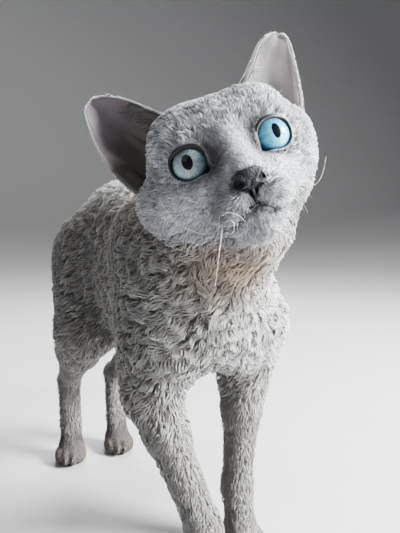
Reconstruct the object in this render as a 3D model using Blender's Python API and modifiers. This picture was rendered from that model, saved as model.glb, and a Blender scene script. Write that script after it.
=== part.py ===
"""Life-size still model of a standing devon rex cat, its head turned and tilted up to the viewer.

Metres, +Z up. The cat faces -Y and its left side is +X, with the soles on z = 0. The body is a smooth
union of ellipsoids and tapered limbs: the same blobs are joined and remeshed as a skin, the skin is
settled on the smooth union, and thin cuts part it into head, neck, torso, tail, legs and paws.
"""

import math
from dataclasses import dataclass

import bmesh
import bpy
import numpy as np
from mathutils import Matrix, Vector

MM = 0.001
GAP = 0.3 * MM
FAR = 30.0 * MM
SEED = 7

# The trunk follows an arc seen from above: hips along +Y, shoulders turned to the cat's right.
TRUNK_MIDDLE = np.array([4.0, 0.0]) * MM
TRUNK_TURN = math.radians(7.0)
TRUNK_BEND = math.radians(60.0)

# The head, turned right, tipped up and tilted with its left side high, about the point between the eyes.
EYE_MIDDLE = np.array([-33.8, -149.2, 255.4]) * MM
HEAD_YAW = math.radians(-32.5)
HEAD_PITCH = math.radians(-6.0)
HEAD_ROLL = math.radians(-20.0)

# Each eye: how far to the side, its ball, the lids over it, and the way it looks.
EYE_SIDE = 18.9 * MM
EYE_RADIUS = 10.8 * MM
LID_THICKNESS = 1.9 * MM
EYE_DIVERGENCE = math.radians(13.0)
EYE_RISE = math.radians(4.0)

# The opening between the lids: nearly round, flatter above and below, with a corner in towards the nose.
LID_RADIUS = 8.2 * MM
LID_CORNER = math.radians(-38.0)
LID_CORNER_LENGTH = 2.4 * MM
LID_OUTER_LENGTH = 0.8 * MM
LID_FLATTENING = (1.1 * MM, 0.5 * MM)

# How far in mm the muzzle stands to the cat's right of the middle of its face.
MUZZLE_SIDE = -1.4

NOSTRIL_RADII = np.array([1.9, 3.4, 1.3]) * MM
MOUTH_RADIUS = 0.75 * MM

BODY_VOXEL = 3.0 * MM
HEAD_VOXEL = 1.5 * MM
BODY_TRIANGLES = 3300
HEAD_TRIANGLES = 2800

# The curls: how far apart their roots are, how long and wide they are, how high they stand, how deep they
# root, and how far they keep from the lower legs.
CURL_SPACING = 22.2 * MM
CURL_LENGTHS = (23.0 * MM, 26.0 * MM, 29.0 * MM)
CURL_WIDTHS = (19.0 * MM, 22.0 * MM)
CURL_HEIGHT = 5.6 * MM
CURL_ROOT = 2.6 * MM
CURL_SIDES = 5
CURL_CLEAR = 16.0 * MM
CURL_SAMPLES = 6000

FUR_GREY = (0.56, 0.54, 0.52, 1.0)
POINT_GREY = (0.22, 0.21, 0.22, 1.0)
EAR_GREY = (0.34, 0.31, 0.31, 1.0)
IRIS_BLUE = (0.45, 0.68, 0.80, 1.0)


@dataclass
class Ellipsoid:
    """A stretched ball: centre, radii along its own axes, those axes as columns, and its blend width."""

    centre: np.ndarray
    radii: np.ndarray
    turn: np.ndarray
    blend: float

    def reach(self):
        """Centre and radius of a ball that holds it."""
        return self.centre, self.radii.max()

    def distance(self, points):
        """Distance to the surface, worked out from the stretched length of each point's offset."""
        local = (points - self.centre) @ self.turn / self.radii
        length = np.linalg.norm(local, axis=1)
        slope = np.linalg.norm(local / self.radii, axis=1)
        return length * (length - 1.0) / np.maximum(slope, 1e-9)


@dataclass
class Limb:
    """A rounded tapered bar from start to end."""

    start: np.ndarray
    end: np.ndarray
    radius_start: float
    radius_end: float
    blend: float

    def reach(self):
        """Centre and radius of a ball that holds it."""
        half = np.linalg.norm(self.end - self.start) / 2
        return (self.start + self.end) / 2, half + max(self.radius_start, self.radius_end)

    def distance(self, points):
        """Distance to the bar's line less the radius there."""
        span = self.end - self.start
        along = np.clip((points - self.start) @ span / (span @ span), 0.0, 1.0)
        offset = points - self.start - along[:, None] * span
        radius = self.radius_start + along * (self.radius_end - self.radius_start)
        return np.linalg.norm(offset, axis=1) - radius


def rotation(x=0.0, y=0.0, z=0.0):
    """Rotation matrix: about Y first, then X, then Z, so that roll, pitch and yaw don't mix."""
    turn = Matrix.Rotation(z, 3, "Z") @ Matrix.Rotation(x, 3, "X") @ Matrix.Rotation(y, 3, "Y")
    return np.array(turn)


HEAD_TURN = rotation(HEAD_PITCH, HEAD_ROLL, HEAD_YAW)


def trunk_point(along, side, height):
    """Point at a distance forward along the trunk's arc, to the cat's left of it, and above the floor. All in mm."""
    along, side, height = along * MM, side * MM, height * MM
    heading = TRUNK_TURN + TRUNK_BEND * along
    x = (math.cos(heading) - math.cos(TRUNK_TURN)) / TRUNK_BEND
    y = -(math.sin(heading) - math.sin(TRUNK_TURN)) / TRUNK_BEND
    x += TRUNK_MIDDLE[0] + side * math.cos(heading)
    y += TRUNK_MIDDLE[1] - side * math.sin(heading)
    return np.array([x, y, height])


def trunk_turn(along, pitch=0.0, roll=0.0):
    """Axes of a blob on the trunk: its heading there, with a pitch and a roll in degrees."""
    heading = TRUNK_TURN + TRUNK_BEND * along * MM
    return rotation(math.radians(pitch), math.radians(roll), -heading)


def trunk_blob(along, side, height, radii, pitch=0.0, roll=0.0, blend=22.0):
    """Ellipsoid on the trunk. Radii are across, along and up, in mm."""
    return Ellipsoid(
        trunk_point(along, side, height), np.array(radii) * MM, trunk_turn(along, pitch, roll), blend * MM
    )


def head_point(x, y, z):
    """Point of the head in mm from between the eyes: left, back and up of the face."""
    return EYE_MIDDLE + HEAD_TURN @ (np.array([x, y, z]) * MM)


def head_blob(x, y, z, radii, pitch=0.0, roll=0.0, yaw=0.0, blend=9.0):
    """Ellipsoid on the head, with its own turn in degrees."""
    own = rotation(math.radians(pitch), math.radians(roll), math.radians(yaw))
    return Ellipsoid(head_point(x, y, z), np.array(radii) * MM, HEAD_TURN @ own, blend * MM)


def head_limb(start, end, radius_start, radius_end, blend=6.0):
    """Tapered bar on the head, in mm."""
    return Limb(head_point(*start), head_point(*end), radius_start * MM, radius_end * MM, blend * MM)


def limb(start, end, radius_start, radius_end, blend=14.0):
    """Tapered bar in the part's frame, in mm."""
    return Limb(np.array(start) * MM, np.array(end) * MM, radius_start * MM, radius_end * MM, blend * MM)


def trunk_blobs():
    """Chest, rib cage, loin, belly, hips, shoulders and haunches."""
    blobs = [
        trunk_blob(22, 0, 188, (37, 72, 55)),
        trunk_blob(84, 0, 178, (33, 35, 42)),
        trunk_blob(62, 0, 218, (22, 44, 26)),
        trunk_blob(-34, 0, 213, (31, 60, 42)),
        trunk_blob(-12, 0, 170, (32, 58, 43)),
        trunk_blob(-68, 0, 215, (28.5, 37, 36.5)),
        trunk_blob(-88, 0, 204, (22, 24, 27)),
    ]
    for side in (-1, 1):
        blobs.append(trunk_blob(58, 25 * side, 192, (16, 29, 43), pitch=-16, blend=18))
        blobs.append(trunk_blob(84, 24 * side, 163, (17, 22, 30), pitch=-8, blend=18))
        blobs.append(trunk_blob(-66, 27 * side - 4, 176, (19, 37, 47), pitch=16, blend=18))
    return blobs


def neck_blobs():
    """Neck from the withers and the chest to the skull and the throat."""
    nape = head_point(0, 50, -4)
    throat = head_point(0, 26, -32)
    return [
        Limb(trunk_point(64, 0, 206), nape, 32 * MM, 25 * MM, 20 * MM),
        Limb(trunk_point(88, 0, 192), throat, 36 * MM, 23 * MM, 20 * MM),
    ]


@dataclass
class Foreleg:
    """Joints of a foreleg in mm, in the part's frame."""

    shoulder: tuple
    elbow: tuple
    wrist: tuple
    knuckles: tuple
    heading: float

    def muscle(self):
        """End of the forearm's muscle."""
        return np.array(self.elbow) + 0.3 * np.subtract(self.wrist, self.elbow)

    def upper_blobs(self):
        """Upper arm, and the forearm's muscle."""
        return [limb(self.shoulder, self.elbow, 21, 15.0, 18), limb(self.elbow, self.muscle(), 13.2, 12.4, 10)]

    def lower_blobs(self):
        """Forearm, wrist and paw."""
        return [
            limb(self.muscle(), self.wrist, 12.2, 9.4, 8),
            limb(self.wrist, self.knuckles, 9.8, 10.2, 7),
        ] + paw_blobs(self.knuckles, self.heading)

    def parting(self, name):
        """Level cut below the elbow."""
        return level_parting(name, self.elbow, ELBOW_HEIGHT, 120)


@dataclass
class HindLeg:
    """Joints of a hind leg in mm, in the part's frame."""

    hip: tuple
    knee: tuple
    hock: tuple
    knuckles: tuple
    heading: float

    def along_shank(self, share):
        """Point between the knee and the hock."""
        return np.array(self.knee) + share * np.subtract(self.hock, self.knee)

    def upper_blobs(self):
        """Thigh and calf."""
        calf = self.along_shank(0.35)
        return [limb(self.hip, self.knee, 26, 20, 20), limb(self.knee, calf, 18.5, 16.0, 14)]

    def lower_blobs(self):
        """Shank, heel, hind foot and paw."""
        return [
            limb(self.along_shank(0.35), self.hock, 15.5, 8.6, 10),
            limb(self.hock, self.knuckles, 9.6, 9.6, 7),
        ] + paw_blobs(self.knuckles, self.heading)

    def parting(self, name):
        """Cut across the shank below the knee. It takes the shank and the foot, and leaves the haunch."""
        way = Vector(np.subtract(self.hock, self.knee)).normalized()
        side = way.cross(Vector((0, 0, 1))).normalized()
        over, middle = side.cross(way), Vector(self.along_shank(KNEE_SHARE))
        corners = [tuple(middle + side * a + over * b) for a in (-60, 60) for b in (-110, 28)]
        return Parting(name, tuple(corners), tuple(way * 160))


def paw_blobs(knuckles, heading):
    """Paw below its knuckles: a pad, four toes side by side, and the thumb side left plain."""
    turn = rotation(z=math.radians(heading))
    middle = np.array([knuckles[0], knuckles[1], 0.0])
    blobs = [Ellipsoid((middle + turn @ [0, -3, 9.5]) * MM, np.array([12.5, 15.5, 10.5]) * MM, turn, 6 * MM)]
    for across, forward, splay in ((-9.6, -10.5, 10), (-3.5, -15.0, 3), (3.5, -15.0, -3), (9.6, -10.5, -10)):
        toe_turn = turn @ rotation(z=math.radians(splay))
        centre = middle + turn @ [across, forward, 7.0]
        blobs.append(Ellipsoid(centre * MM, np.array([4.6, 9.0, 7.4]) * MM, toe_turn, 2.6 * MM))
    return blobs


LEGS = {
    "foreleg_left": Foreleg((33, -86, 160), (38, -72, 116), (31, -74, 40), (29, -80, 16), -14),
    "foreleg_right": Foreleg((-32, -84, 162), (-38, -76, 120), (-18, -104, 42), (-14, -113, 16), -24),
    "hind_leg_left": HindLeg((27, 80, 196), (40, 46, 136), (27, 122, 72), (22, 107, 16), -14),
    "hind_leg_right": HindLeg((-13, 80, 196), (-31, 48, 136), (-20, 123, 72), (-23, 111, 16), -26),
}

# The tail leaves the rump, swings down to the cat's left and curls up at its end.
TAIL_ROUTE = (
    (8, 106, 219), (22, 133, 210), (42, 150, 196), (66, 156, 183), (90, 149, 173),
    (109, 131, 169), (120, 107, 173), (124, 83, 184), (120, 64, 200),
)
TAIL_RADII = (13.0, 10.6, 9.4, 8.7, 8.1, 7.6, 7.0, 6.3, 5.0)
TAIL_BARS = 20

# How high in mm the forelegs part from the upper arms, how far down the shank the hind legs part from the
# thighs, and how high in mm the paws part from the legs.
ELBOW_HEIGHT = 100.0
KNEE_SHARE = 0.3
PAW_HEIGHT = 29.0


def tail_blobs():
    """The tail as a chain of tapered bars along a smooth curve through its route."""
    rows = np.column_stack([TAIL_ROUTE, TAIL_RADII])
    stations = smooth_rows(np.arange(len(rows)), rows, np.linspace(0, len(rows) - 1, TAIL_BARS + 1))
    pairs = zip(stations[:-1], stations[1:])
    return [limb(a[:3], b[:3], a[3], b[3], 4 if i else 16) for i, (a, b) in enumerate(pairs)]


def skull_blobs():
    """Braincase, forehead, temples, cheekbones, cheeks and the sides of the nose."""
    blobs = [
        head_blob(0, 33, 9, (35, 33, 27), blend=12),
        head_blob(0, 10, 12, (25, 18, 17), pitch=12, blend=10),
        head_blob(-23.5, 21, -18.5, (16.5, 19, 15), blend=10),
        head_blob(20.0, 20, -18, (16, 18.5, 14.5), blend=10),
        head_blob(-34.5, 25, -9, (16, 15, 14.5), blend=9),
        head_blob(32, 16, 2, (12.5, 15, 14), blend=9),
    ]
    for side in (-1, 1):
        blobs += [
            head_blob(26 * side, 13, -10, (14, 16, 12), yaw=-10 * side, blend=10),
            head_blob(22 * side, 21, 9, (12, 17, 13), blend=9),
            head_blob(18.5 * side, 14, 20.8, (13, 14, 10.5), blend=8),
            head_blob(13 * side, -2, -17, (13, 18, 12), yaw=-18 * side, blend=8),
            head_blob(18 * side, 1, 11, (12, 6, 4.5), roll=10 * side, blend=7),
            head_blob(22 * side, 0, -12, (12, 7, 4.5), roll=-6 * side, blend=7),
        ]
    return blobs


def muzzle_blobs():
    """Nose bridge, nose, whisker pads, lower lip, chin and jaw."""
    mid = MUZZLE_SIDE
    blobs = [
        head_limb((0, -4, 2), (mid, -25.0, -13.5), 9.5, 6.6, 8),
        head_blob(mid, -12, -21, (16, 15, 12), blend=8),
        head_blob(mid, -16, -35.5, (9, 8, 7), pitch=-8, blend=5),
        head_limb((mid, -10, -34.5), (0, 20, -30), 8.6, 16, 8),
        head_blob(mid, -29.8, -17.8, (6.4, 4.2, 4.8), pitch=20, blend=3),
    ]
    for side in (-1, 1):
        blobs += [
            head_blob(mid + 8.2 * side, -21.5, -25.4, (10.2, 9.6, 8.2), yaw=-14 * side, roll=8 * side, blend=4),
            head_blob(mid + 4.6 * side, -30.2, -19.0, (2.8, 3.0, 3.0), blend=2),
            head_limb((mid, -23.6, -33.2), (mid + 7 * side, -20.5, -34.8), 2.3, 2.2, 2),
            head_limb((mid + 7 * side, -20.5, -34.8), (mid + 14 * side, -11.5, -35.2), 2.2, 1.8, 2),
        ]
    return blobs


def lid_blobs():
    """A thin ball round each eye, which the lids are cut from."""
    radius = EYE_RADIUS + LID_THICKNESS
    return [
        Ellipsoid(head_point(side * EYE_SIDE / MM, 0, 0), np.full(3, radius), HEAD_TURN, 5 * MM)
        for side in (-1, 1)
    ]


# Stations up the ear, from inside the head to the tip, in mm of the head frame for the left ear: the
# middle across and up, half the width across and up, how far back, and how deep the cup is there.
EAR_STATIONS = (
    (25.0, 8.0, 11.0, -19.0, 28.5, 17.0),
    (33.5, 17.0, 12.5, -19.5, 28.5, 17.5),
    (42.0, 29.5, 14.0, -15.0, 32.0, 15.0),
    (47.5, 41.5, 13.0, -11.0, 37.0, 10.5),
    (51.5, 51.0, 10.0, -7.4, 40.0, 6.3),
    (54.4, 57.4, 6.5, -4.4, 41.5, 3.3),
    (55.7, 60.2, 4.3, -2.7, 42.8, 1.7),
    (56.6, 62.1, 0.8, -0.5, 43.9, 0.6),
)
EAR_RISE = (-0.22, 0.0, 0.3, 0.56, 0.78, 0.91, 0.965, 1.0)
EAR_THICKNESS = 2.0 * MM
EAR_SWIVEL = {1: math.radians(48.0), -1: math.radians(6.0)}


def smooth_rows(knots, rows, at):
    """Values between the rows, on a cubic curve through them whose slopes come from each row's neighbours."""
    knots, rows = np.array(knots, float), np.array(rows, float)
    slopes = np.gradient(rows, knots, axis=0)
    step = np.clip(np.searchsorted(knots, at, side="right") - 1, 0, len(knots) - 2)
    width = (knots[step + 1] - knots[step])[:, None]
    t = ((at - knots[step]) / width[:, 0])[:, None]
    return (
        (2 * t**3 - 3 * t**2 + 1) * rows[step] + (t**3 - 2 * t**2 + t) * width * slopes[step]
        + (3 * t**2 - 2 * t**3) * rows[step + 1] + (t**3 - t**2) * width * slopes[step + 1]
    )


def ear_points(side, across, rise):
    """Middle surface of an ear: at each height an arc bulging back from the inner edge to the outer edge."""
    middle_x, middle_z, half_x, half_z, back, depth = smooth_rows(EAR_RISE, EAR_STATIONS, rise).T
    bulge = np.cos(across * math.pi / 2) ** 0.8 * depth
    out, aft = across * half_x - 0.35 * bulge, bulge - 1.5 * across
    cosine, sine = math.cos(EAR_SWIVEL[side]), math.sin(EAR_SWIVEL[side])
    x = middle_x + out * cosine - aft * sine
    y = back + out * sine + aft * cosine
    z = middle_z + across * half_z + 0.2 * bulge
    local = np.stack([x * side, y, z], axis=1) * MM
    return EYE_MIDDLE + local @ HEAD_TURN.T


def ear_object(side, collection, columns=9, rows=11):
    """An ear as an open curved sheet with a thickness."""
    steps = 1 - np.linspace(1, 0, rows) ** 1.5
    across, rise = np.meshgrid(np.linspace(-1, 1, columns), EAR_RISE[0] + (1 - EAR_RISE[0]) * steps)
    points = ear_points(side, across.ravel(), rise.ravel())
    index = np.arange(rows * columns).reshape(rows, columns)
    quads = np.stack([index[:-1, :-1], index[:-1, 1:], index[1:, 1:], index[1:, :-1]], axis=-1).reshape(-1, 4)
    name = "ear_left" if side > 0 else "ear_right"
    mesh = bpy.data.meshes.new(name)
    mesh.from_pydata(points.tolist(), [], quads.tolist())
    made = bpy.data.objects.new(name, mesh)
    collection.objects.link(made)
    shell = made.modifiers.new("Thickness", "SOLIDIFY")
    shell.thickness = EAR_THICKNESS
    shell.offset = 0.0
    return evaluated_copy(made, name)


def all_blobs():
    """Every blob of the cat but the ears, in the order that the smooth union takes them."""
    legs = [leg.upper_blobs() + leg.lower_blobs() for leg in LEGS.values()]
    return (
        trunk_blobs() + sum(legs, []) + tail_blobs() + neck_blobs()
        + skull_blobs() + muzzle_blobs() + lid_blobs()
    )


def union_distance(points, blobs):
    """Smooth union: each blob joins the rest, and where both are near, the joint is filled by a round fillet."""
    total = np.full(len(points), FAR)
    for blob in blobs:
        centre, radius = blob.reach()
        offset = points - centre
        close = np.flatnonzero((offset * offset).sum(1) < (radius + FAR) ** 2)
        own, other = blob.distance(points[close]), total[close]
        near = np.maximum(blob.blend - np.abs(other - own), 0.0) / blob.blend
        total[close] = np.minimum(other, own) - near * near * blob.blend / 4.0
    return total


def union_normal(points, blobs):
    """Distance and outward slope of the smooth union, by small steps along X, Y and Z."""
    step = 0.2 * MM
    here = union_distance(points, blobs)
    slopes = [(union_distance(points + step * np.eye(3)[i], blobs) - here) / step for i in range(3)]
    return here, np.stack(slopes, axis=1)


def mesh_points(mesh):
    """The mesh's vertices as an array."""
    flat = np.empty(len(mesh.vertices) * 3, np.float32)
    mesh.vertices.foreach_get("co", flat)
    return flat.reshape(-1, 3).astype(float)


def set_points(mesh, points):
    """Puts the array back into the mesh."""
    mesh.vertices.foreach_set("co", points.astype(np.float32).ravel())
    mesh.update()


def settle(mesh, blobs, level=0.0, rounds=4):
    """Moves the vertices on to the smooth union, easing them along it between rounds so that they spread evenly."""
    points = mesh_points(mesh)
    ends = np.empty(len(mesh.edges) * 2, np.int32)
    mesh.edges.foreach_get("vertices", ends)
    ends = ends.reshape(-1, 2)
    counts = np.bincount(ends.ravel(), minlength=len(points))[:, None]
    for round_number in range(rounds):
        if round_number:
            total = np.zeros_like(points)
            np.add.at(total, ends[:, 0], points[ends[:, 1]])
            np.add.at(total, ends[:, 1], points[ends[:, 0]])
            points = 0.5 * points + 0.5 * total / counts
        for _ in range(2):
            gap, slope = union_normal(points, blobs)
            size = np.maximum((slope * slope).sum(1), 0.05)
            points -= ((gap - level) / size)[:, None] * slope
    set_points(mesh, points)


def object_from(bm, name, collection):
    """A named object made from a bmesh."""
    mesh = bpy.data.meshes.new(name)
    bm.to_mesh(mesh)
    bm.free()
    made = bpy.data.objects.new(name, mesh)
    collection.objects.link(made)
    return made


def evaluated_copy(source, name):
    """Applies the object's modifiers, and keeps its name and collection."""
    bpy.context.view_layer.update()
    graph = bpy.context.evaluated_depsgraph_get()
    mesh = bpy.data.meshes.new_from_object(source.evaluated_get(graph))
    mesh.name = name
    source.modifiers.clear()
    source.data = mesh
    return source


def add_ball(bm, centre, radii, turn, subdivisions=3):
    """A stretched icosphere in the bmesh."""
    matrix = Matrix(turn.tolist()).to_4x4() @ Matrix.Diagonal((*radii, 1.0))
    matrix.translation = Vector(centre)
    return bmesh.ops.create_icosphere(bm, subdivisions=subdivisions, radius=1.0, matrix=matrix)["verts"]


def add_limb(bm, blob):
    """The hull of the limb's two end balls, added to the bmesh."""
    own = bmesh.new()
    add_ball(own, blob.start, np.full(3, blob.radius_start), np.eye(3), 2)
    add_ball(own, blob.end, np.full(3, blob.radius_end), np.eye(3), 2)
    hull = bmesh.ops.convex_hull(own, input=own.verts, use_existing_faces=False)
    inside = [v for v in hull["geom_interior"] if isinstance(v, bmesh.types.BMVert)]
    bmesh.ops.delete(own, geom=inside, context="VERTS")
    scrap = bpy.data.meshes.new("limb")
    own.to_mesh(scrap)
    own.free()
    bm.from_mesh(scrap)
    bpy.data.meshes.remove(scrap)


def blob_mesh(name, blobs, voxel, collection, union=None):
    """The blobs as balls and hulls, joined by a voxel remesh and settled on their smooth union, or on a wider one."""
    bm = bmesh.new()
    for blob in blobs:
        if isinstance(blob, Ellipsoid):
            add_ball(bm, blob.centre, blob.radii, blob.turn)
        else:
            add_limb(bm, blob)
    made = object_from(bm, name, collection)
    remesh = made.modifiers.new("Skin", "REMESH")
    remesh.mode = "VOXEL"
    remesh.voxel_size = voxel
    evaluated_copy(made, name)
    settle(made.data, union or blobs)
    return made


def thin_out(target, triangles):
    """Collapses the mesh to about this many triangles, keeping most where it curves most."""
    target.data.calc_loop_triangles()
    decimate = target.modifiers.new("Thin", "DECIMATE")
    decimate.ratio = min(1.0, triangles / len(target.data.loop_triangles))
    decimate.use_collapse_triangulate = True
    return evaluated_copy(target, target.name)


def copy_of(source, name):
    """A second object with its own mesh."""
    made = bpy.data.objects.new(name, source.data.copy())
    source.users_collection[0].objects.link(made)
    return made


def hull_cutter(name, corners, cutters):
    """The convex hull of the corners, as a cutter."""
    bm = bmesh.new()
    for corner in corners:
        bm.verts.new(corner)
    bmesh.ops.convex_hull(bm, input=bm.verts)
    bmesh.ops.recalc_face_normals(bm, faces=bm.faces)
    made = object_from(bm, name, cutters)
    made.hide_render = True
    made.display_type = "WIRE"
    return made


def cut(target, cutter, operation, solver="MANIFOLD"):
    """Cuts, keeps or joins by another object, or by each object of a collection, and applies it."""
    boolean = target.modifiers.new("Cut", "BOOLEAN")
    boolean.operation = operation
    boolean.solver = solver
    if isinstance(cutter, bpy.types.Collection):
        boolean.operand_type = "COLLECTION"
        boolean.collection = cutter
    else:
        boolean.object = cutter
    return evaluated_copy(target, target.name)


def keep_largest(target):
    """Keeps the mesh's largest closed surface."""
    bm = bmesh.new()
    bm.from_mesh(target.data)
    bm.verts.ensure_lookup_table()
    left, islands = set(bm.verts), []
    while left:
        start = left.pop()
        island, queue = {start}, [start]
        while queue:
            for edge in queue.pop().link_edges:
                for vert in edge.verts:
                    if vert in left:
                        left.discard(vert)
                        island.add(vert)
                        queue.append(vert)
        islands.append(island)
    islands.sort(key=len, reverse=True)
    for island in islands[1:]:
        bmesh.ops.delete(bm, geom=list(island), context="VERTS")
    bm.to_mesh(target.data)
    bm.free()


@dataclass
class Parting:
    """A convex region that takes one piece off: the corners of its root face in mm, and the way it runs."""

    name: str
    corners: tuple
    reach: tuple

    def hull(self, cutters, grow):
        """The region, its root face moved back by grow towards what stays."""
        reach = Vector(self.reach)
        back = -reach.normalized() * grow
        face = [Vector(corner) * MM for corner in self.corners]
        points = [corner + back for corner in face] + [corner + reach * MM for corner in face]
        return hull_cutter("region_" + self.name, points, cutters)

    def keep_from(self, source, name, cutters):
        """A copy of the source cut down to the region."""
        piece = copy_of(source, name)
        cut(piece, self.hull(cutters, 0.0), "INTERSECT")
        keep_largest(piece)
        return piece

    def clear_from(self, trunk, cutters):
        """Cuts the region and a gap off the trunk."""
        cut(trunk, self.hull(cutters, GAP), "DIFFERENCE")
        keep_largest(trunk)

    def take_from(self, trunk, cutters):
        """Splits the piece off the trunk, with a gap between the two faces."""
        piece = self.keep_from(trunk, self.name, cutters)
        self.clear_from(trunk, cutters)
        return piece


def square_face(point, normal, half):
    """Four corners in mm of a square about a point, across the normal."""
    normal = Vector(normal).normalized()
    side = normal.cross(Vector((0, 0, 1))).normalized()
    up = side.cross(normal)
    return tuple(
        tuple(Vector(point) + side * a * half + up * b * half) for a, b in ((-1, -1), (1, -1), (1, 1), (-1, 1))
    )


def facing(name, point, normal, half, depth):
    """Region that starts at a square face and runs along its normal."""
    return Parting(name, square_face(point, normal, half), tuple(Vector(normal).normalized() * depth))


# Back and up of the face: the head's cut runs from above the nape down to the throat.
HEAD_CUT = ((96, 70), (21, -50))


def head_parting():
    """Cut from the nape, behind the ears, down to the throat."""
    corners = tuple(tuple(head_point(x, y, z) / MM) for x in (-70, 70) for y, z in HEAD_CUT)
    return Parting("head", corners, tuple(HEAD_TURN @ np.array([0, -200.0, 0])))


def neck_parting():
    """Cut at the base of the neck."""
    return facing("neck", (-8, -88, 212), (0, -0.7, 0.71), 75, 120)


def tail_partings():
    """Cuts through the tail: beyond the haunch, near its tip, and at its root."""
    root, turn = np.array(TAIL_ROUTE[1]), np.array(TAIL_ROUTE[3]) - np.array(TAIL_ROUTE[1])
    return (
        facing("tail_mid", TAIL_ROUTE[3], (1, 0, 0), 130, 200),
        facing("tail_tip", TAIL_ROUTE[6], (0, -1, 0), 60, 120),
        facing("tail_base", root, turn, 17, 80),
    )


def leg_parting(name, side, front, back, rise):
    """Cut that rises outward from the armpit or the groin, so that the leg takes its own upper end."""
    inner, outer, slope = 0.5, 95.0, 1.05
    corners = [(x * side, y, rise + slope * x) for x in (inner, outer) for y in (front, back)]
    return Parting(name, tuple(corners), (0, 0, -400))


def level_parting(name, middle, height, depth):
    """Level cut at this height round a leg. All in mm."""
    corners = [(middle[0] + a, middle[1] + b, height) for a in (-60, 60) for b in (-60, 60)]
    return Parting(name, tuple(corners), (0, 0, -depth))


def ball(name, centre, radius, collection):
    """A ball with faces enough to look round in its socket."""
    bm = bmesh.new()
    add_ball(bm, centre, np.full(3, radius), HEAD_TURN)
    return object_from(bm, name, collection)


def eye_centre(side):
    """Middle of an eyeball."""
    return head_point(side * EYE_SIDE / MM, 0, 0)


def lid_opening(side, cutters, sides=20):
    """A flaring plug along the gaze whose outline is the opening between the lids."""
    gaze = rotation(-EYE_RISE, 0.0, side * EYE_DIVERGENCE)
    angle = np.linspace(0, 2 * math.pi, sides, endpoint=False)
    corner = np.angle(np.exp(1j * (angle - LID_CORNER)))
    outer = np.angle(np.exp(1j * (angle - LID_CORNER - math.pi)))
    radius = LID_RADIUS + LID_CORNER_LENGTH * np.exp(-((corner / 0.30) ** 2))
    radius += LID_OUTER_LENGTH * np.exp(-((outer / 0.45) ** 2))
    above, below = LID_FLATTENING
    radius -= np.where(np.sin(angle) > 0, above, below) * np.sin(angle) ** 2
    bm = bmesh.new()
    rings = []
    for depth, flare in ((2.0 * MM, 0.95), (22.0 * MM, 1.25)):
        across, up = -side * radius * np.cos(angle) * flare, radius * np.sin(angle) * flare
        local = np.stack([across, np.full(sides, -depth), up], axis=1)
        points = eye_centre(side) + local @ (HEAD_TURN @ gaze).T
        rings.append([bm.verts.new(point) for point in points])
    bm.faces.new(rings[0])
    bm.faces.new(rings[1])
    for i in range(sides):
        j = (i + 1) % sides
        bm.faces.new((rings[0][i], rings[0][j], rings[1][j], rings[1][i]))
    bmesh.ops.recalc_face_normals(bm, faces=bm.faces)
    return as_cutter(object_from(bm, "lid_opening", cutters))


def as_cutter(target):
    """Hides an object that only shapes others."""
    target.hide_render = True
    target.display_type = "WIRE"
    return target


def on_surface(points, blobs, level=0.0):
    """The points moved straight on to the smooth union."""
    points = np.array(points, float)
    for _ in range(4):
        gap, slope = union_normal(points, blobs)
        points -= ((gap - level) / np.maximum((slope * slope).sum(1), 0.05))[:, None] * slope
    return points


def tube(name, points, radii, collection):
    """A closed tube of six sides along the points, with its own radius at each."""
    curve = bpy.data.curves.new(name, "CURVE")
    curve.dimensions = "3D"
    curve.bevel_depth = 1.0
    curve.bevel_resolution = 1
    curve.use_fill_caps = True
    spline = curve.splines.new("POLY")
    spline.points.add(len(points) - 1)
    for knot, point, radius in zip(spline.points, points, radii):
        knot.co = (*point, 1.0)
        knot.radius = radius
    guide = bpy.data.objects.new(name, curve)
    collection.objects.link(guide)
    bpy.context.view_layer.update()
    mesh = bpy.data.meshes.new_from_object(guide.evaluated_get(bpy.context.evaluated_depsgraph_get()))
    bpy.data.objects.remove(guide)
    bm = bmesh.new()
    bm.from_mesh(mesh)
    bmesh.ops.remove_doubles(bm, verts=bm.verts, dist=0.00001)
    bmesh.ops.recalc_face_normals(bm, faces=bm.faces)
    return object_from(bm, name, collection)


def line_on_face(name, knots, radius, steps, blobs, cutters):
    """A thin tube through the knots, in mm of the head, snapped to the skin: it cuts a line into it."""
    knots = np.array(knots, float)
    at = np.linspace(0, len(knots) - 1, steps)
    local = smooth_rows(np.arange(len(knots)), knots, at) * MM
    points = on_surface(EYE_MIDDLE + local @ HEAD_TURN.T, blobs)
    fade = np.sin(np.linspace(0.12, 0.88, steps) * math.pi) ** 0.5
    return as_cutter(tube(name, points, radius * fade, cutters))


def cut_face(head, blobs, cutters):
    """Cuts the eye sockets, the openings of the lids, the nostrils and the line of the mouth."""
    for side in (-1, 1):
        cut(head, as_cutter(ball("socket", eye_centre(side), EYE_RADIUS + GAP, cutters)), "DIFFERENCE")
        cut(head, lid_opening(side, cutters), "DIFFERENCE")
        bm = bmesh.new()
        turn = HEAD_TURN @ rotation(math.radians(-25), math.radians(-35 * side), math.radians(28 * side))
        add_ball(bm, head_point(MUZZLE_SIDE + 4.3 * side, -32.4, -19.8), NOSTRIL_RADII, turn, 2)
        cut(head, as_cutter(object_from(bm, "nostril", cutters)), "DIFFERENCE")
        corner = [(1, -30.4, -31), (6, -26.5, -32.6), (11.5, -19.5, -33.6), (16, -10.5, -32.8)]
        corner = [(MUZZLE_SIDE + x * side, y, z) for x, y, z in corner]
        cut(head, line_on_face("mouth_line", corner, MOUTH_RADIUS, 9, blobs, cutters), "DIFFERENCE")
    groove = [(MUZZLE_SIDE, -33.5, -22.8), (MUZZLE_SIDE, -32.6, -26.5), (MUZZLE_SIDE, -30, -31)]
    cut(head, line_on_face("lip_groove", groove, MOUTH_RADIUS, 6, blobs, cutters), "DIFFERENCE")
    keep_largest(head)


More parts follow.
